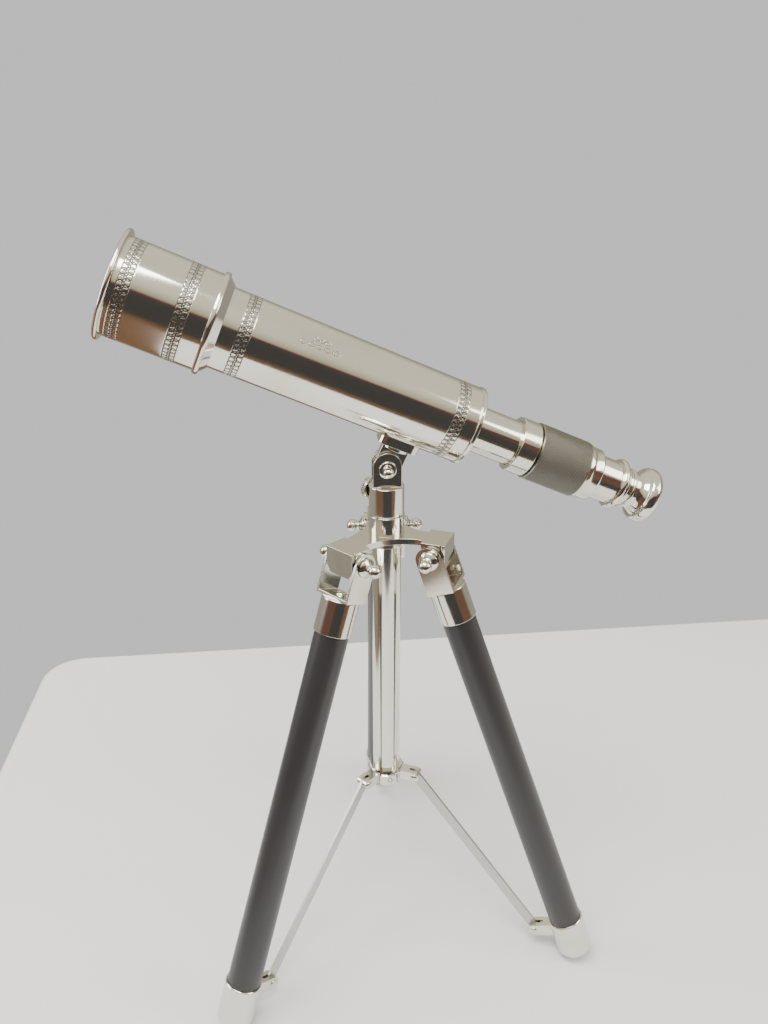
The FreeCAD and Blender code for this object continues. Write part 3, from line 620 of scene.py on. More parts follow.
# ---------------------------------------------------------------- ornament
@dataclass(frozen=True)
class RingBand:
    """Engraved band of interlaced rings in two rows all round a tube."""

    start: float
    width: float
    tube_radius: float
    rings: int
    line: float = 0.3

    def rows(self) -> np.ndarray:
        """Stations along the tube that the pattern needs."""
        return np.linspace(self.start - 0.3, self.start + self.width + 0.3, 34)

    def carve(self, u: np.ndarray, turn: np.ndarray) -> np.ndarray:
        """Depth of cut, 0 to 1: near the edge of any ring of two staggered rows.

        The distance from a point to a ring's edge is |distance to its centre - ring radius|; each row's
        nearest centres are found by rounding the arc position to the ring pitch.

        Args:
            u: stations.
            turn: angles.
        Returns:
            Cut at each point.
        """
        pitch = 2 * math.pi * self.tube_radius / self.rings
        arc_place = turn * self.tube_radius
        ring = self.width * 0.31
        nearest = np.full(u.shape, 9.0)
        for row, shift in ((-1, 0.0), (1, 0.5)):
            middle = self.start + self.width / 2 + row * self.width * 0.19
            base = np.floor(arc_place / pitch - shift)
            for step in (0.0, 1.0):
                centre = (base + step + shift) * pitch
                gap = np.abs(np.hypot(u - middle, arc_place - centre) - ring)
                nearest = np.minimum(nearest, gap)
        inside = (u > self.start) & (u < self.start + self.width)
        return np.where(inside, np.clip(1.25 - nearest / self.line, 0, 1), 0.0)


@dataclass(frozen=True)
class Lozenges:
    """Small engraved ornament on the barrel: a chain of five lozenges beside a shorter one of three."""

    middle_u: float = -58.0
    middle_turn: float = math.radians(-50.0)
    tube_radius: float = 20.65
    line: float = 0.22

    def rows(self) -> np.ndarray:
        """Stations along the tube that the pattern needs."""
        return np.linspace(self.middle_u - 13.0, self.middle_u + 13.0, 104)

    def carve(self, u: np.ndarray, turn: np.ndarray) -> np.ndarray:
        """Depth of cut, 0 to 1: near a lozenge's edge, |a|/long + |b|/short = 1, or near a line.

        Args:
            u: stations.
            turn: angles.
        Returns:
            Cut at each point.
        """
        a = u - self.middle_u
        b = (np.mod(turn - self.middle_turn + math.pi, 2 * math.pi) - math.pi) * self.tube_radius
        nearest = np.full(u.shape, 9.0)
        for count, row, long, short in ((5, -1.6, 2.1, 1.5), (3, 1.9, 1.5, 1.1)):
            for step in range(count):
                along = a - (2 * step - count + 1) * long
                edge = np.abs(np.abs(along) / long + np.abs(b - row) / short - 1.0) * short * 0.8
                nearest = np.minimum(nearest, edge)
        return np.clip(1.25 - nearest / self.line, 0, 1)


def engraved(patterns: list[Any], depth: float) -> Relief:
    """Joins patterns into one relief that cuts into the tube.

    Args:
        patterns: ornaments with a carve method.
        depth: how deep they go, in millimetres.
    Returns:
        The relief for turned().
    """
    def relief(u: np.ndarray, turn: np.ndarray) -> tuple[np.ndarray, np.ndarray]:
        """Height and cut at each point."""
        cut = np.max([pattern.carve(u, turn) for pattern in patterns], axis=0)
        return -depth * cut, cut
    return relief


def lined(front: float, rear: float, patterns: list[Any]) -> list[float]:
    """Stations strictly between two ends, dense where a pattern needs them.

    Args:
        front: first end.
        rear: last end.
        patterns: ornaments with a rows method.
    Returns:
        Sorted stations.
    """
    rows = np.concatenate([pattern.rows() for pattern in patterns])
    return sorted(float(x) for x in rows if front < x < rear)


def diamond_knurl(start: float, length: float, around: int, pitch: float, depth: float) -> Relief:
    """Diamond knurl: two sets of helical grooves crossing.

    Each set is a triangle wave of turn*count/2pi plus or minus u/pitch; the height is the lower of the two,
    so every crossing leaves a small pyramid.

    Args:
        start: first station.
        length: length of the knurl.
        around: grooves of one set round the circle.
        pitch: distance between grooves along the tube.
        depth: height of the pyramids.
    Returns:
        The relief for turned().
    """
    def wave(phase: np.ndarray) -> np.ndarray:
        """Triangle wave between 0 and 1."""
        return 1.0 - np.abs(np.mod(phase, 1.0) * 2.0 - 1.0)

    def relief(u: np.ndarray, turn: np.ndarray) -> tuple[np.ndarray, np.ndarray]:
        """Height and cut at each point."""
        lean, run = turn * around / (2 * math.pi), (u - start) / pitch
        peak = np.minimum(wave(lean + run), wave(lean - run))
        inside = (u >= start - 1e-6) & (u <= start + length + 1e-6)
        return np.where(inside, depth * (peak - 1.0), 0.0), np.where(inside, 1.0 - peak, 0.0)
    return relief


# ---------------------------------------------------------------- telescope
@dataclass
class Telescope:
    """Shade, barrel, objective and saddle."""

    body: str = "telescope"
    rim_front: float = -158.9
    rim_rear: float = -156.3
    rim_radius: float = 27.5
    shade_in: float = 23.6
    shade_radius: float = 24.5
    ring_front: float = -110.9
    ring_radius: float = 26.0
    ring_width: float = 3.0
    barrel_front: float = -104.5
    barrel_start: float = -116.9
    barrel_rear: float = 29.0
    barrel_radius: float = 20.65
    barrel_in: float = 19.65
    draw_bore: float = 12.25
    end_ring_rear: float = 31.6
    cell_front: float = -120.9
    cell_rear: float = -108.9
    lens_front: float = -114.5
    lens_rear: float = -111.9
    lens_radius: float = 17.5
    lens_bulge: float = 1.6

    def build(self) -> None:
        """Builds every piece of the telescope body."""
        self.shade()
        self.barrel()
        self.objective()
        self.saddle()

    def shade(self) -> None:
        """Rim, shade tube with its two ring bands, and the bead and cone that carry it."""
        bead = (self.rim_rear - self.rim_front) / 2
        rim = [(self.rim_rear, self.shade_in), (self.rim_front + 0.3, self.shade_in),
               (self.rim_front, self.shade_in + 0.4)]
        rim += arc((self.rim_front, self.rim_radius - bead), (self.rim_front + bead, self.rim_radius),
                   (self.rim_rear, self.rim_radius - bead), 14)
        rim += [(self.rim_rear, self.rim_radius - bead), (self.rim_rear, self.shade_radius + 0.25)]
        turned("sunshade_rim", TUBE, rim, self.body, Finish.NICKEL, ("shade_rim",), 192)
        bands = [RingBand(-153.9, 6.2, self.shade_radius, 52), RingBand(-126.5, 6.4, self.shade_radius, 52)]
        stations = lined(self.rim_rear, self.ring_front, bands)
        tube = [(self.rim_rear, self.shade_in), (self.rim_rear, self.shade_radius)]
        tube += [(u, self.shade_radius) for u in stations]
        tube += [(self.ring_front, self.shade_radius), (self.ring_front, self.shade_in)]
        turned("sunshade_tube", TUBE, tube, self.body, Finish.NICKEL, ("shade_tube",), 624,
               engraved(bands, 0.14))
        middle = self.ring_front + self.ring_width / 2
        cone = self.ring_front + self.ring_width
        edge = self.ring_radius - 0.6
        ring = [(self.barrel_start, self.barrel_radius), (self.barrel_start, self.shade_in),
                (self.ring_front, self.shade_in), (self.ring_front, self.shade_radius + 0.05)]
        ring += arc((self.ring_front + 0.05, edge), (middle, self.ring_radius), (cone, edge), 14)
        ring += [(cone, edge), (cone + 0.1, self.shade_radius - 0.2), (cone + 0.5, self.shade_radius - 0.55),
                 (self.barrel_front - 0.3, self.barrel_radius + 0.75),
                  (self.barrel_front, self.barrel_radius + 0.5),
                 (self.barrel_front, self.barrel_radius)]
        turned("sunshade_ring", TUBE, ring, self.body, Finish.NICKEL, ("shade_ring",), 192)

    def barrel(self) -> None:
        """Barrel with a ring band at each end and the engraved ornament, and its end ring."""
        bands = [RingBand(-96.6, 6.2, self.barrel_radius, 44), RingBand(16.2, 6.2, self.barrel_radius, 44),
                 Lozenges()]
        stations = lined(self.barrel_start, self.barrel_rear, bands)
        tube = [(self.barrel_start, self.barrel_in), (self.barrel_start, self.barrel_radius)]
        tube += [(u, self.barrel_radius) for u in stations]
        tube += [(self.barrel_rear - 0.5, self.barrel_radius), (self.barrel_rear, self.barrel_radius),
                 (self.barrel_rear, self.barrel_in)]
        turned("main_tube", TUBE, tube, self.body, Finish.NICKEL, ("main_barrel",), 528,
               engraved(bands, 0.14))
        proud = self.barrel_radius + 0.45
        inner = self.barrel_rear - 8.0
        ring = eased([(inner, self.draw_bore), (inner, self.barrel_in), (self.barrel_rear, self.barrel_in),
                      (self.barrel_rear, self.barrel_radius),
                      (self.barrel_rear + 0.35, self.barrel_radius - 0.2),
                      (self.barrel_rear + 0.6, proud), (self.end_ring_rear, proud),
                      (self.end_ring_rear, self.draw_bore)], 0.4)
        turned("main_tube_end_ring", TUBE, ring, self.body, Finish.NICKEL, ("barrel_end_ring",), 160)

    def objective(self) -> None:
        """Blackened cell and retainer round the front lens."""
        clear = 16.1
        bore = 17.6
        cell = eased([(self.cell_front, bore), (self.cell_front, self.barrel_radius),
                      (self.barrel_start, self.barrel_radius), (self.barrel_start, self.barrel_in),
                      (self.cell_rear, self.barrel_in), (self.cell_rear, clear), (self.lens_rear, clear),
                      (self.lens_rear, bore)])
        turned("front_lens_cell", TUBE, cell, self.body, Finish.BLACKENED, ("objective_cell",), 128)
        grooves = [(self.cell_front + 0.9 + k * 0.9, clear + (0.25 if k % 2 else 0.0)) for k in range(6)]
        keeper = [(self.cell_front, clear), (self.cell_front, bore), (self.lens_front, bore),
                  (self.lens_front, clear), *reversed(grooves)]
        turned("front_lens_keeper", TUBE, keeper, self.body, Finish.BLACKENED, ("lens_retainer",), 96)
        lens_piece("front_lens", self.lens_front, self.lens_rear, self.lens_radius, clear,
                   self.lens_bulge, self.body, "objective_lens")

    def saddle(self) -> None:
        """Saddle pad under the barrel and the tongue that tilts in the fork."""
        softened("saddle_block", "saddle_pad", TUBE, self.body, Finish.NICKEL, 0.5)
        softened("tilt_tongue_plate", "tilt_tongue", TUBE, self.body, Finish.NICKEL, 0.4)


def lens_piece(name: str, front: float, rear: float, radius: float, clear: float, bulge: float, body: str,
               node: str) -> bpy.types.Object:
    """A double convex lens: a spherical cap on each side of a ground edge.

    Args:
        name: piece name.
        front: station of the front edge.
        rear: station of the rear edge.
        radius: lens radius.
        clear: radius of the polished caps.
        bulge: height of each cap.
        body: CAD body it rides on.
        node: CAD node it stands for.
    Returns:
        The new object.
    """
    r_sphere = (clear ** 2 + bulge ** 2) / (2 * bulge)
    fan = np.linspace(0.0, math.asin(clear / r_sphere), 14)
    caps = list(zip(r_sphere * (np.cos(fan) - 1.0) + bulge, r_sphere * np.sin(fan)))
    outline = [(rear + h, r) for h, r in caps]
    outline += [(rear, radius - 0.15), (rear - 0.15, radius), (front + 0.15, radius), (front, radius - 0.15)]
    outline += [(front - h, r) for h, r in reversed(caps)]
    return turned(name, TUBE, outline, body, Finish.GLASS, (node,), 96)


# ---------------------------------------------------------------- draw tube and eye end
@dataclass
class DrawTube:
    """Draw tube, its stop, the erecting lenses and the plain collar of the focusing mount."""

    body: str = "draw"
    radius: float = 12.2
    inner: float = 11.4
    collar_front: float = 57.6
    collar_rear: float = 68.0
    collar_radius: float = 14.9
    bearing_radius: float = 13.0
    stop_radius: float = 19.6
    bore: float = 12.05

    def build(self) -> None:
        """Builds the draw tube's pieces."""
        front = node_span("draw_tube")[0]
        seat = self.collar_front + 5.0
        tube = eased([(front, self.inner), (front, self.radius),
                      (seat, self.radius), (seat, self.inner)], 0.2)
        turned("draw_tube_wall", TUBE, tube, self.body, Finish.NICKEL, ("draw_tube",), 160)
        low, high = self.collar_front, self.collar_rear
        bearing_end = node_span("focus_collar")[1]
        collar = eased([(low, self.radius), (low, self.collar_radius), (high, self.collar_radius),
                        (high, self.bearing_radius), (bearing_end, self.bearing_radius),
                        (bearing_end, self.bore), (high, self.bore), (high, self.inner), (seat, self.inner),
                        (seat, self.radius)], 0.6)
        turned("focus_mount_collar", TUBE, collar, self.body, Finish.NICKEL, ("focus_collar",), 160)
        stop_front, stop_rear = node_span("draw_stop_ring")
        stop = eased([(stop_front, self.radius), (stop_front, self.stop_radius),
                      (stop_rear, self.stop_radius), (stop_rear, self.radius)])
        turned("draw_stop", TUBE, stop, self.body, Finish.BLACKENED, ("draw_stop_ring",), 96)
        self.erector()

    def erector(self) -> None:
        """Carrier and its pair of lenses."""
        front, rear = node_span("erector_cell")
        wall, lip = self.inner - 1.2, self.inner - 2.2
        near, far = front + 4.0, rear - 4.0
        carrier = [(front, wall), (front, self.inner), (rear, self.inner), (rear, wall),
                   (far, wall), (far, lip), (near, lip), (near, wall)]
        turned("erector_carrier", TUBE, eased(carrier, 0.15), self.body, Finish.BLACKENED,
               ("erector_cell",), 96)
        lens_piece("erector_lens_pair", near - 2.0, near, wall, lip, 0.8, self.body, "erector_lenses")
        lens_piece("erector_lens_far", far, far + 2.0, wall, lip, 0.8, self.body, "erector_lenses")


def node_span(node: str) -> tuple[float, float]:
    """First and last station of a CAD node along the telescope, in millimetres.

    Args:
        node: CAD node name.
    Returns:
        (front, rear) stations.
    """
    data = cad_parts[node].data
    points = np.zeros(len(data.vertices) * 3, np.float32)
    data.vertices.foreach_get("co", points)
    stations = TUBE.to_local(points.reshape(-1, 3).astype(float))[:, 0]
    return float(stations.min()), float(stations.max())


@dataclass
class FocusSleeve:
    """Knurled grip with its plain rounded shoulder."""

    body: str = "focus"
    radius: float = 15.7
    bore: float = 13.05
    end_bore: float = 12.05
    knurl_length: float = 29.8
    shoulder_radius: float = 14.4
    end_wall: float = 2.6
    grooves: int = 96

    def build(self) -> None:
        """Builds the sleeve: a knurled barrel between two plain lands, and the shoulder."""
        front, rear = node_span("focus_sleeve")
        knurl_end = front + self.knurl_length
        land = 0.7
        grip_length = self.knurl_length - 2 * land
        crossings = round(grip_length / 1.05)
        rows = np.linspace(front + land, knurl_end - land, 4 * crossings + 1)
        plain = self.radius - 0.06
        grip = [(front, self.bore), (front, plain - 0.45), (front + 0.12, plain - 0.14), (front + 0.4, plain),
                (front + land - 0.05, plain)]
        grip += [(float(u), self.radius) for u in rows]
        grip += [(knurl_end - land + 0.05, plain), (knurl_end - 0.3, plain), (knurl_end - 0.1, plain - 0.12),
                 (knurl_end, plain - 0.4), (knurl_end, self.bore)]
        knurl = diamond_knurl(front + land, grip_length, self.grooves, grip_length / crossings, 0.3)
        turned("focus_grip", TUBE, grip, self.body, Finish.KNURL, ("focus_sleeve",), self.grooves * 4, knurl)
        top = self.shoulder_radius
        wall = rear - self.end_wall
        shoulder = [(knurl_end, self.bore), (knurl_end, self.radius - 0.7),
                    (knurl_end + 0.5, self.radius - 0.8)]
        shoulder += arc((knurl_end + 1.9, self.radius - 0.7), (knurl_end + 2.4, top + 0.35),
                        (knurl_end + 3.6, top), 6)
        shoulder += [(knurl_end + 3.6, top), (rear - 1.8, top)]
        shoulder += arc((rear - 1.4, top), (rear - 0.4, top - 0.42), (rear, top - 1.4), 8)
        shoulder += [(rear, top - 1.4), (rear, self.end_bore + 0.3), (rear - 0.3, self.end_bore),
                     (wall, self.end_bore), (wall, self.bore)]
        turned("focus_shoulder", TUBE, shoulder, self.body, Finish.NICKEL, ("focus_sleeve",), 160)


@dataclass
class Eyepiece:
    """Eyepiece tube, its bead and neck, the eye cup and two lenses."""

    body: str = "eyepiece"
    radius: float = 12.0
    wall: float = 1.0
    flange_radius: float = 14.1
    flange_width: float = 3.4
    waist: float = 10.2
    cup_radius: float = 15.2
    pupil: float = 4.5

    def build(self) -> None:
        """Builds the eye end from front to rear."""
        front, rear = node_span("eyepiece_tube")
        inner = self.radius - self.wall
        tube = eased([(front, inner), (front, self.radius), (rear, self.radius), (rear, inner)], 0.25)
        turned("eye_tube", TUBE, tube, self.body, Finish.NICKEL, ("eyepiece_tube",), 128)
        self.neck()
        self.cup()
        self.lenses()

    def neck(self) -> None:
        """Round bead, then a neck with two narrow rings."""
        near, far = node_span("eyepiece_flange")
        seat = near + 2.0
        flange_end = near + self.flange_width
        step = (far - flange_end) / 4
        edge = self.flange_radius - 0.9
        outline = [(seat, self.radius - self.wall - 1.4), (seat, self.radius), (near, self.radius)]
        outline += arc((near, edge), (near + self.flange_width / 2, self.flange_radius),
                       (flange_end, edge), 14)
        outline += [(flange_end, edge), (flange_end, self.waist + 0.5)]
        outline += arc((flange_end + 0.1, self.waist + 0.5), (flange_end + step * 0.6, self.waist + 1.6),
                       (flange_end + step * 1.2, self.waist), 10)
        outline += [(flange_end + step * 1.2, self.waist), (far - step * 2.05, self.waist)]
        outline += arc((far - step * 2, self.waist), (far - step * 1.5, self.waist + 1.0),
                       (far - step, self.waist), 10)
        outline += [(far - step, self.waist), (far, self.waist), (far, self.radius - self.wall - 1.4)]
        turned("eye_bead_and_neck", TUBE, outline, self.body, Finish.NICKEL, ("eyepiece_flange",), 144)

    def cup(self) -> None:
        """Mushroom-shaped cup with a round rim and a dished face."""
        near, far = node_span("eye_cup")
        r = self.cup_radius
        rim = far - 4.6
        seat = far - 5.0
        outline = [(near, self.pupil + 2.6), (near, self.waist)]
        outline += arc((near + 0.05, self.waist), (near + 2.6, self.waist + 1.0), (rim - 2.4, r - 0.9), 12)
        outline += arc((rim - 2.4, r - 0.9), (rim - 1.1, r - 0.2), (rim, r), 5)
        outline += arc((rim, r), (far - 1.2, r * 0.95), (far, r * 0.78), 12)
        outline += [(far, r * 0.78), (far - 0.15, r * 0.74)]
        outline += arc((far - 0.3, r * 0.70), (far - 0.9, r * 0.62), (far - 1.25, r * 0.52), 5)
        outline += [(far - 1.25, r * 0.52), (far - 2.7, self.pupil + 0.15), (far - 2.95, self.pupil),
                    (seat, self.pupil), (seat, self.pupil + 2.6)]
        turned("eye_cup_shell", TUBE, outline, self.body, Finish.NICKEL, ("eye_cup",), 144)

    def lenses(self) -> None:
        """Eye lens and field lens, each flat at the back and domed in front."""
        for name, node, radius, bulge in (("eye_side_lens", "eye_lens", self.pupil + 2.6, 1.2),
                                          ("field_side_lens", "field_lens", self.radius - self.wall, 1.6)):
            front, rear = node_span(node)
            edge = front + bulge
            r_sphere = (radius ** 2 + bulge ** 2) / (2 * bulge)
            fan = np.linspace(math.asin(radius / r_sphere), 0.0, 14)
            dome = list(zip(edge - r_sphere * (np.cos(fan) - 1.0) - bulge, r_sphere * np.sin(fan)))
            outline = [(rear, 0.0), (rear, radius - 0.1), (rear - 0.1, radius), *dome[:-1], (front, 0.0)]
            turned(name, TUBE, outline, self.body, Finish.GLASS, (node,), 72)


# ---------------------------------------------------------------- head and column
@dataclass
class Head:
    """Cap, fork, tilt screw and nut."""

    body: str = "head"
    cap_radius: float = 9.6
    cap_low: float = 280.7
    cap_high: float = 296.9
    bore: float = 8.05
    post_top: float = 293.9
    cheek: float = 5.4

    def build(self) -> None:
        """Builds the head."""
        r = self.cap_radius
        cap = eased([(self.cap_low, self.bore), (self.cap_low, r), (self.cap_high, r), (self.cap_high, 0.0),
                     (self.post_top, 0.0), (self.post_top, self.bore)], 0.55)
        turned("column_cap", COLUMN, cap, self.body, Finish.NICKEL, ("head_cap",), 128)
        softened("fork_block", "head_fork", COLUMN, self.body, Finish.NICKEL, 0.4)
        self.tilt_hardware()

    def tilt_hardware(self) -> None:
        """Ball-headed screw across the fork and its round nut."""
        near = Spot((0.0, -self.cheek, TILT_Z), (0.0, -1.0, 0.0), (0.0, 0.0, 1.0))
        seat = 1.2
        shank = 2.0
        tip = -(2 * self.cheek + 4.4)
        ball = ball_profile(2.9, 1.9, 6.4)
        outline = [(tip, 0.0), (tip, shank - 0.5), (tip + 0.5, shank), (0.0, shank),
                   (0.0, 4.5), (0.15, 4.7), (seat - 0.5, 4.7), (seat - 0.15, 4.45), (seat, 4.1)]
        outline += [(seat + u, radius) for u, radius in ball[1:]]
        turned("tilt_screw_ball", near, outline, self.body, Finish.NICKEL, ("tilt_screw",), 72)
        far = Spot((0.0, self.cheek, TILT_Z), (0.0, 1.0, 0.0), (0.0, 0.0, 1.0))
        nut = [(0.0, 2.0), (0.0, 4.2), (0.2, 4.4), (2.0, 4.4), *arc((2.1, 4.35), (2.9, 3.95), (3.4, 3.3), 5),
               (3.4, 3.3), (3.4, 2.0)]
        turned("tilt_round_nut", far, nut, self.body, Finish.NICKEL, ("tilt_nut",), 72)


@dataclass
class LockScrew:
    """Pan lock: a round knob with a milled edge."""

    body: str = "lock_screw"
    azimuth: float = -53.8
    height: float = 292.688
    radius: float = 5.8
    face: float = 9.9
    width: float = 4.0
    flutes: int = 36

    def build(self) -> None:
        """Builds the knob and its screw; the flutes are a cosine wave round the rim."""
        turn = math.radians(self.azimuth)
        spot = Spot((0.0, 0.0, self.height), (math.sin(turn), math.cos(turn), 0.0), (0.0, 0.0, 1.0))
        end = self.face + self.width

        def relief(u: np.ndarray, angle: np.ndarray) -> tuple[np.ndarray, np.ndarray]:
            """Height and cut at each point."""
            milled = (0.5 - 0.5 * np.cos(angle * self.flutes)) * (u > self.face + 0.7) * (u < end - 1.4)
            return -0.22 * milled, 0.6 * milled

        rim = [(float(u), self.radius) for u in np.linspace(self.face + 0.6, end - 1.3, 6)]
        crown = arc((end - 1.2, self.radius - 0.12), (end - 0.35, self.radius - 1.4),
                    (end, self.radius * 0.5), 7)
        outline = [(8.1, 0.0), (8.1, 1.2), (8.4, 1.5), (self.face, 1.5), (self.face, self.radius - 0.7),
                   (self.face + 0.25, self.radius - 0.15), *rim, *crown, (end, self.radius * 0.5), (end, 0.0)]
        turned("pan_lock_knob", spot, outline, self.body, Finish.NICKEL, ("pan_lock_screw",), 216, relief)


@dataclass
class Column:
    """Polished post with the bracket that carries the stays."""

    body: str = "column"
    radius: float = 8.0
    wall: float = 1.4
    low: float = 104.0
    top: float = 293.9
    pin_radius: float = 19.0
    pin_z: float = 109.0
    ear: float = 3.6

    def build(self) -> None:
        """Builds post, bracket, rivets and grub screw."""
        inner = self.radius - self.wall
        post = eased([(self.low, inner), (self.low, self.radius),
                      (self.top, self.radius), (self.top, inner)], 0.4)
        turned("column_post", COLUMN, post, self.body, Finish.NICKEL, ("center_post",), 160)
        softened("stay_bracket", "bottom_bracket", COLUMN, self.body, Finish.NICKEL, 0.3)
        for side in Side:
            middle = side.outward() * self.pin_radius + np.array([0.0, 0.0, self.pin_z])
            spot = Spot(tuple(middle), tuple(side.across()), (0.0, 0.0, 1.0))
            rivet(f"bracket_rivet_{side.label()}", spot, -self.ear, self.ear, self.body, "bracket_rivets")
        turn = math.radians((Side.RIGHT.value + Side.LEFT.value) / 2)
        spot = Spot((0.0, 0.0, self.low + 3.6), (math.sin(turn), math.cos(turn), 0.0), (0.0, 0.0, 1.0))
        grub = [(6.6, 0.0), (6.6, 1.5), (11.7, 1.5), (12.2, 1.2), (12.4, 0.8), (12.4, 0.45),
                (11.8, 0.4), (11.8, 0.0)]
        turned("bracket_grub_screw", spot, grub, self.body, Finish.NICKEL, ("bracket_screw",), 40)


def rivet(name: str, spot: Spot, near: float, far: float, body: str, node: str) -> bpy.types.Object:
    """A rivet between two faces, with a domed head beyond the second face and, if near is below 0, the first.

    Args:
        name: piece name.
        spot: frame whose x is the rivet's axis.
        near: first face.
        far: second face.
        body: CAD body it rides on.
        node: CAD node it stands for.
    Returns:
        The new object.
    """
    shank, head, height = 1.2, 2.15, 1.2
    fan = np.linspace(0.0, math.pi / 2, 9)
    dome = list(zip(height * np.sin(fan), head * np.cos(fan)))
    outline = [(far, shank), (far, head - 0.02), *[(far + h, r) for h, r in dome[:-1]], (far + height, 0.0)]
    if near < 0:
        back = [(near - h, r) for h, r in dome[:-1]]
        outline += [(near - height, 0.0), *reversed(back), (near, head - 0.02), (near, shank)]
    else:
        outline += [(near, 0.0), (near, shank)]
    return turned(name, spot, outline, body, Finish.NICKEL, (node,), 40)


# ---------------------------------------------------------------- hub, legs and stays
@dataclass
class Hub:
    """Three-armed plate, the bush the column slides in, and the pivot hardware."""

    body: str = "hub"
    sleeve_radius: float = 9.8
    bore: float = 8.05
    sleeve_low: float = 263.6
    sleeve_top: float = 280.4
    pivot_radius: float = 28.0
    pivot_z: float = 261.0
    seat: float = 12.0
    washer: float = 2.6

    def build(self) -> None:
        """Builds the hub."""
        softened("hub_arms", "hub_spider", COLUMN, self.body, Finish.NICKEL, 0.35)
        bush = eased([(self.sleeve_low, self.bore), (self.sleeve_low, self.sleeve_radius),
                      (self.sleeve_top, self.sleeve_radius), (self.sleeve_top, self.bore)], 0.5)
        turned("hub_bush", COLUMN, bush, self.body, Finish.NICKEL, ("hub_sleeve",), 128)
        for side in Side:
            self.pivot(side)

    def pivot(self, side: Side) -> None:
        """Bolt with its ball head, ball nut and two domed washers across one arm.

        Args:
            side: which arm.
        """
        middle = tuple(side.outward() * self.pivot_radius + np.array([0.0, 0.0, self.pivot_z]))
        start, end = self.seat, self.seat + self.washer
        washer = [(start, 2.0), (start, 5.2), (start + 0.1, 5.3), (start + 0.8, 5.3)]
        washer += arc((start + 0.85, 5.28), (start + 1.95, 3.8), (end, 2.55), 8) + [(end, 2.55), (end, 2.0)]
        ball = ball_profile(3.6, 2.6, 7.4)
        for sign, nut in ((-1.0, False), (1.0, True)):
            spot = Spot(middle, tuple(side.across() * sign), (0.0, 0.0, 1.0))
            tag = f"{side.label()}_{'b' if nut else 'a'}"
            turned(f"pivot_washer_{tag}", spot, washer, self.body, Finish.NICKEL, ("pivot_washers",), 64)
            top = [(end + u, r) for u, r in ball[1:]]
            if nut:
                outline = [(end, 2.0), *top, (end + 3.0, 0.0), (end + 3.0, 2.0)]
                turned(f"pivot_ball_nut_{side.label()}", spot, outline, self.body, Finish.NICKEL,
                       ("pivot_nuts",), 64)
            else:
                outline = [(-end - 3.0, 0.0), (-end - 3.0, 1.7), (-end - 2.7, 2.0), (end, 2.0), *top]
                turned(f"pivot_ball_bolt_{side.label()}", spot, outline, self.body, Finish.NICKEL,
                       ("pivot_bolts",), 64)


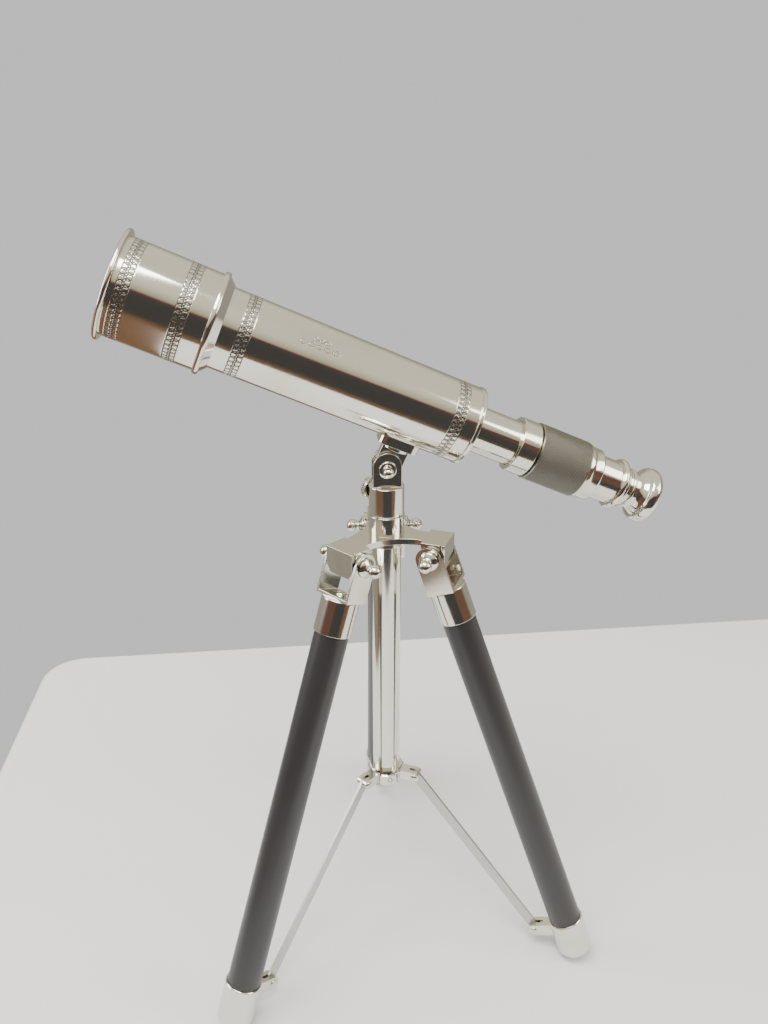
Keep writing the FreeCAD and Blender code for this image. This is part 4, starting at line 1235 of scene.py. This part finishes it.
@dataclass
class Leg:
    """One leg: yoke, ferrule, black rod, foot cup and tip."""

    side: Side
    pivot_radius: float = 28.0
    pivot_z: float = 261.0
    lean: float = math.radians(20.8)
    radius: float = 9.525
    ferrule_top: float = 20.4
    ferrule_length: float = 19.6
    tip_radius: float = 3.7
    tip_length: float = 6.2
    lug_station: float = 22.2
    lug_reach: float = 21.6

    def spot(self) -> Spot:
        """The leg's frame: x down the leg from the pivot, z outwards."""
        out = self.side.outward()
        down = out * math.sin(self.lean) + np.array([0.0, 0.0, -math.cos(self.lean)])
        over = out * math.cos(self.lean) + np.array([0.0, 0.0, math.sin(self.lean)])
        middle = out * self.pivot_radius + np.array([0.0, 0.0, self.pivot_z])
        return Spot(tuple(middle), tuple(down), tuple(over))

    def length(self) -> float:
        """From the pivot to the tip's round end before its flat is worn off."""
        slope = math.cos(self.lean)
        return (self.pivot_z + 0.25 - self.tip_radius * (1 - slope)) / slope

    def build(self) -> None:
        """Builds the leg's seven pieces."""
        label = self.side.label()
        body = f"leg_{label}"
        spot = self.spot()
        softened(f"yoke_{label}", f"leg_yoke_{label}", spot, body, Finish.NICKEL, 0.3)
        self.screw(spot, body, label)
        top = self.ferrule_top
        r = self.radius + 0.85
        low = top + self.ferrule_length
        ferrule = eased([(top, 1.7), (top, r), (low, r), (low, self.radius), (top + 1.6, self.radius),
                         (top + 1.6, 1.7)], 0.8)
        turned(f"ferrule_{label}", spot, ferrule, body, Finish.NICKEL, (f"leg_ferrule_{label}",), 112)
        cup_bottom = self.length() - self.tip_length
        rod_end = cup_bottom - 2.6
        rod = [(top + 1.6, 0.0), (top + 1.6, self.radius - 0.3), (top + 1.9, self.radius)]
        rod += [(float(t), self.radius) for t in np.linspace(top + 2.4, rod_end - 0.8, 20)]
        rod += [(rod_end - 0.3, self.radius), (rod_end, self.radius - 0.3), (rod_end, 0.0)]
        turned(f"leg_stick_{label}", spot, rod, body, Finish.WOOD, (f"leg_rod_{label}",), 96)
        softened(f"foot_{label}", f"foot_cup_{label}", spot, body, Finish.NICKEL, 0.3)
        self.tip(spot, body, label)
        self.rivets(body, label)

    def screw(self, spot: Spot, body: str, label: str) -> None:
        """Round-headed screw inside the yoke, with its slot worn in as a shallow ring.

        Args:
            spot: the leg's frame.
            body: CAD body it rides on.
            label: the leg's name.
        """
        base = self.ferrule_top - 1.7
        fan = np.linspace(0.0, math.pi / 2, 9)
        head = [(base - 2.2 * math.cos(a), 3.2 * math.sin(a)) for a in fan[1:]]
        outline = [(base - 2.2, 0.0), *head, (base, 1.6), (base + 16.0, 1.6), (base + 18.0, 0.0)]
        turned(f"yoke_round_screw_{label}", spot, outline, body, Finish.NICKEL, (f"yoke_screw_{label}",), 48)

    def tip(self, spot: Spot, body: str, label: str) -> None:
        """Round tip; its flat lies on the floor, so points below the floor are lifted to it.

        Args:
            spot: the leg's frame.
            body: CAD body it rides on.
            label: the leg's name.
        """
        end = self.length()
        centre = end - self.tip_radius
        fan = np.linspace(math.pi / 2, 0.0, 26)
        ball = [(centre + self.tip_radius * math.cos(a), self.tip_radius * math.sin(a)) for a in fan[:-1]]
        low = end - self.tip_length
        outline = [(low - 2.6, 0.0), (low - 2.6, 2.7), (low, 2.7), (low, 3.5), (low + 0.2, self.tip_radius),
                   *ball, (end, 0.0)]
        made = turned(f"foot_tip_{label}_round", spot, outline, body, Finish.NICKEL,
                      (f"foot_tip_{label}",), 64)
        points = np.zeros(len(made.data.vertices) * 3, np.float32)
        made.data.vertices.foreach_get("co", points)
        points[2::3] = np.maximum(points[2::3], 0.0)
        made.data.vertices.foreach_set("co", points)
        made.data.update()

    def rivets(self, body: str, label: str) -> None:
        """The two stub rivets in the ears of the foot.

        Args:
            body: CAD body they ride on.
            label: the leg's name.
        """
        pin = np.array([[self.length() - self.lug_station, 0.0, -self.lug_reach]])
        middle = tuple(self.spot().to_row(pin)[0] / MM)
        for sign in (-1.0, 1.0):
            spot = Spot(middle, tuple(self.side.across() * sign), (0.0, 0.0, 1.0))
            tag = "a" if sign < 0 else "b"
            rivet(f"foot_rivet_{label}_{tag}", spot, 1.0, 3.6, body, f"foot_rivets_{label}")


@dataclass
class Stay:
    """Flat stay between the column's bracket and a foot."""

    side: Side
    pin_radius: float = 19.0
    pin_z: float = 109.0

    def build(self) -> None:
        """Builds the stay from its drawn strip, with its grain along its length."""
        label = self.side.label()
        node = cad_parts[f"link_{label}"].data
        points = np.zeros(len(node.vertices) * 3, np.float32)
        node.vertices.foreach_get("co", points)
        row = points.reshape(-1, 3).astype(float) / MM
        near = self.side.outward() * self.pin_radius + np.array([0.0, 0.0, self.pin_z])
        far = row[np.argmax(np.linalg.norm(row - near, axis=1))] - near
        along = far - self.side.across() * float(far @ self.side.across())
        along /= np.linalg.norm(along)
        spot = Spot(tuple(near), tuple(along), tuple(self.side.across()))
        softened(f"stay_bar_{label}", f"link_{label}", spot, f"stay_{label}", Finish.STRIP, 0.25)


# ---------------------------------------------------------------- table, light and camera
@dataclass(frozen=True)
class Studio:
    """Pale table, grey room, soft lights and the camera."""

    table: Colour = (0.84, 0.84, 0.88, 1.0)
    # painted shade: a slightly darker cloth colour, laid on with the fold noise
    cloth_fold_shade: Colour = (0.78, 0.785, 0.81, 1.0)
    room: Colour = (0.72, 0.72, 0.722, 1.0)
    ceiling: Colour = (1.0, 0.95, 0.78, 1.0)
    ceiling_low: Colour = (0.60, 0.55, 0.40, 1.0)
    ceiling_edge: Colour = (0.16, 0.035, 0.04, 1.0)
    far_wall: Colour = (0.42, 0.40, 0.34, 1.0)
    near_dark: Colour = (0.075, 0.07, 0.07, 1.0)
    furniture: Colour = (0.22, 0.125, 0.08, 1.0)
    furniture_top: Colour = (0.16, 0.08, 0.065, 1.0)
    floor: Colour = (0.27, 0.15, 0.085, 1.0)
    focal: float = 30.14
    eye: tuple[float, float, float] = (-47.7, -426.5, 461.2)
    heading: float = 6.2
    pitch: float = 22.8

    def build(self) -> None:
        """Sets up everything that isn't the telescope."""
        self.table_top()
        self.world()
        self.lights()
        self.camera()

    def table_top(self) -> None:
        """Table with a rounded edge: an outline stepped down over its edge, laid as a grid of rings."""
        left, right, front, back, corner = -300.0, 1500.0, -450.0, 330.0, 30.0
        quarter = np.linspace(0.0, math.pi / 2, 9)
        ring = []
        for x, y, start in ((right, back, 0.0), (left, back, 0.5), (left, front, 1.0), (right, front, 1.5)):
            cx = x - math.copysign(corner, x)
            cy = y - math.copysign(corner, y)
            turn = quarter + start * math.pi
            ring.append(np.stack([cx + corner * np.cos(turn), cy + corner * np.sin(turn)], axis=-1))
        outline = np.concatenate(ring)
        middle = np.array([(left + right) / 2, (front + back) / 2])
        inward = middle - outline
        inward /= np.linalg.norm(inward, axis=1, keepdims=True)
        edge, drop = 12.0, 700.0
        fall = np.linspace(0.0, math.pi / 2, 8)
        rows = [np.column_stack([outline + inward * edge * (1 - math.sin(a)),
                                 np.full(len(outline), edge * (math.cos(a) - 1.0))]) for a in fall]
        rows.append(np.column_stack([outline, np.full(len(outline), -drop)]))
        points = np.concatenate(rows) * MM
        points[:, 2] -= 0.00005
        count = len(outline)
        numbers = np.arange(len(rows) * count).reshape(len(rows), count)
        sides = np.stack([numbers[:-1], numbers[1:], np.roll(numbers[1:], -1, 1),
                          np.roll(numbers[:-1], -1, 1)], axis=-1).reshape(-1, 4)
        mesh = bpy.data.meshes.new("table")
        mesh.from_pydata(points.tolist(), [], sides.tolist() + [numbers[0].tolist()])
        mesh.polygons.foreach_set("use_smooth", [True] * (len(mesh.polygons) - 1) + [False])
        table = bpy.data.objects.new("table", mesh)
        bpy.context.scene.collection.objects.link(table)
        paint = Paint("table_cloth")
        weave = paint.noise(paint.place(), 900.0, 2.0)
        folds = paint.noise(paint.place(), 9.0, 3.0)
        # the fold noise gives the cloth's bumps and also paints it a touch darker: painted shade in the folds
        paint.set(Base_Color=paint.blend(folds * 0.25, self.table, self.cloth_fold_shade),
                  Roughness=0.85 + weave * 0.1, Normal=paint.bump(folds + weave * 0.05, 0.25, 0.004))
        mesh.materials.append(paint.material)

    def world(self) -> None:
        """Room that the nickel mirrors: pale ceiling and back wall, dark front, brown sides and floor.

        The camera itself sees only an even grey.
        """
        world = bpy.data.worlds.new("room")
        bpy.context.scene.world = world
        world.use_nodes = True
        paint = Paint.over(world.node_tree)
        background = paint.tree.nodes["Background"]
        direction = paint.node("ShaderNodeTexCoord", {}, {}, "Generated")
        parts = paint.tree.nodes.new("ShaderNodeSeparateXYZ")
        paint.feed(parts.inputs[0], direction)
        x, y, z = (Value(paint, parts.outputs[k]) for k in range(3))
        wobble = paint.noise(direction, 2.2, 2.0) - 0.5
        black = paint.ramp(x + wobble * 0.2, -0.52, -0.38) * (1.0 - paint.ramp(x + wobble * 0.2, 0.34, 0.5))
        brown = paint.blend(paint.ramp(z, -0.25, 0.25), self.furniture, self.furniture_top)
        front = paint.blend(black, brown, self.near_dark)
        fringed = paint.blend(paint.ramp(z + wobble * 0.12, 0.2, 0.27), front, self.ceiling_edge)
        wall = paint.blend(paint.ramp(y + wobble * 0.15, -0.35, 0.05), fringed, self.far_wall)
        above = paint.blend(paint.ramp(z + wobble * 0.2, 0.3, 0.62), self.ceiling_low, self.ceiling)
        lit = paint.blend(paint.ramp(z + wobble * 0.12, 0.27, 0.33), wall, above)
        floor = paint.blend(paint.ramp(z, -0.62, -0.42), self.floor, lit)
        seen = paint.node("ShaderNodeLightPath", {}, {}, "Is Camera Ray")
        paint.feed(background.inputs["Color"], paint.blend(seen, floor, self.room))
        background.inputs["Strength"].default_value = 1.0

    def lights(self) -> None:
        """Large soft panels above, in front and to the sides, all facing the telescope."""
        for name, place, size, watts, colour in (
            ("ceiling_panel", (-250.0, -350.0, 1250.0), (900.0, 500.0), 17.0, (1.0, 0.98, 0.94)),
            ("window_panel", (-1300.0, 150.0, 800.0), (700.0, 900.0), 12.0, (0.95, 0.98, 1.0)),
            ("fill_panel", (1100.0, -500.0, 900.0), (700.0, 700.0), 8.0, (1.0, 0.97, 0.93)),
        ):
            data = bpy.data.lights.new(name, "AREA")
            data.shape = "RECTANGLE"
            data.size, data.size_y = size[0] * MM, size[1] * MM
            data.energy = watts
            data.color = colour
            lamp = bpy.data.objects.new(name, data)
            lamp.location = [value * MM for value in place]
            aim = Vector((0.0, 0.0, 0.25)) - lamp.location
            lamp.rotation_euler = aim.to_track_quat("-Z", "Y").to_euler()
            bpy.context.scene.collection.objects.link(lamp)

    def camera(self) -> None:
        """Camera in front of the stand, looking down on it."""
        data = bpy.data.cameras.new("camera")
        data.lens = self.focal
        data.sensor_width = 36.0
        data.clip_start = 0.01
        camera = bpy.data.objects.new("camera", data)
        camera.location = [value * MM for value in self.eye]
        camera.rotation_euler = (math.radians(90.0 - self.pitch), 0.0, -math.radians(self.heading))
        bpy.context.scene.collection.objects.link(camera)
        bpy.context.scene.camera = camera


def main() -> None:
    """Builds the telescope and its stand, then the studio."""
    logging.basicConfig(level=logging.INFO, format="%(name)s: %(message)s")
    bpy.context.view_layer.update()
    parts = [Telescope(), DrawTube(), FocusSleeve(), Eyepiece(), Head(), LockScrew(), Column(), Hub()]
    parts += [Leg(side) for side in Side] + [Stay(side) for side in Side]
    for part in parts:
        part.build()
    Studio().build()


if __name__ == "__main__":
    main()
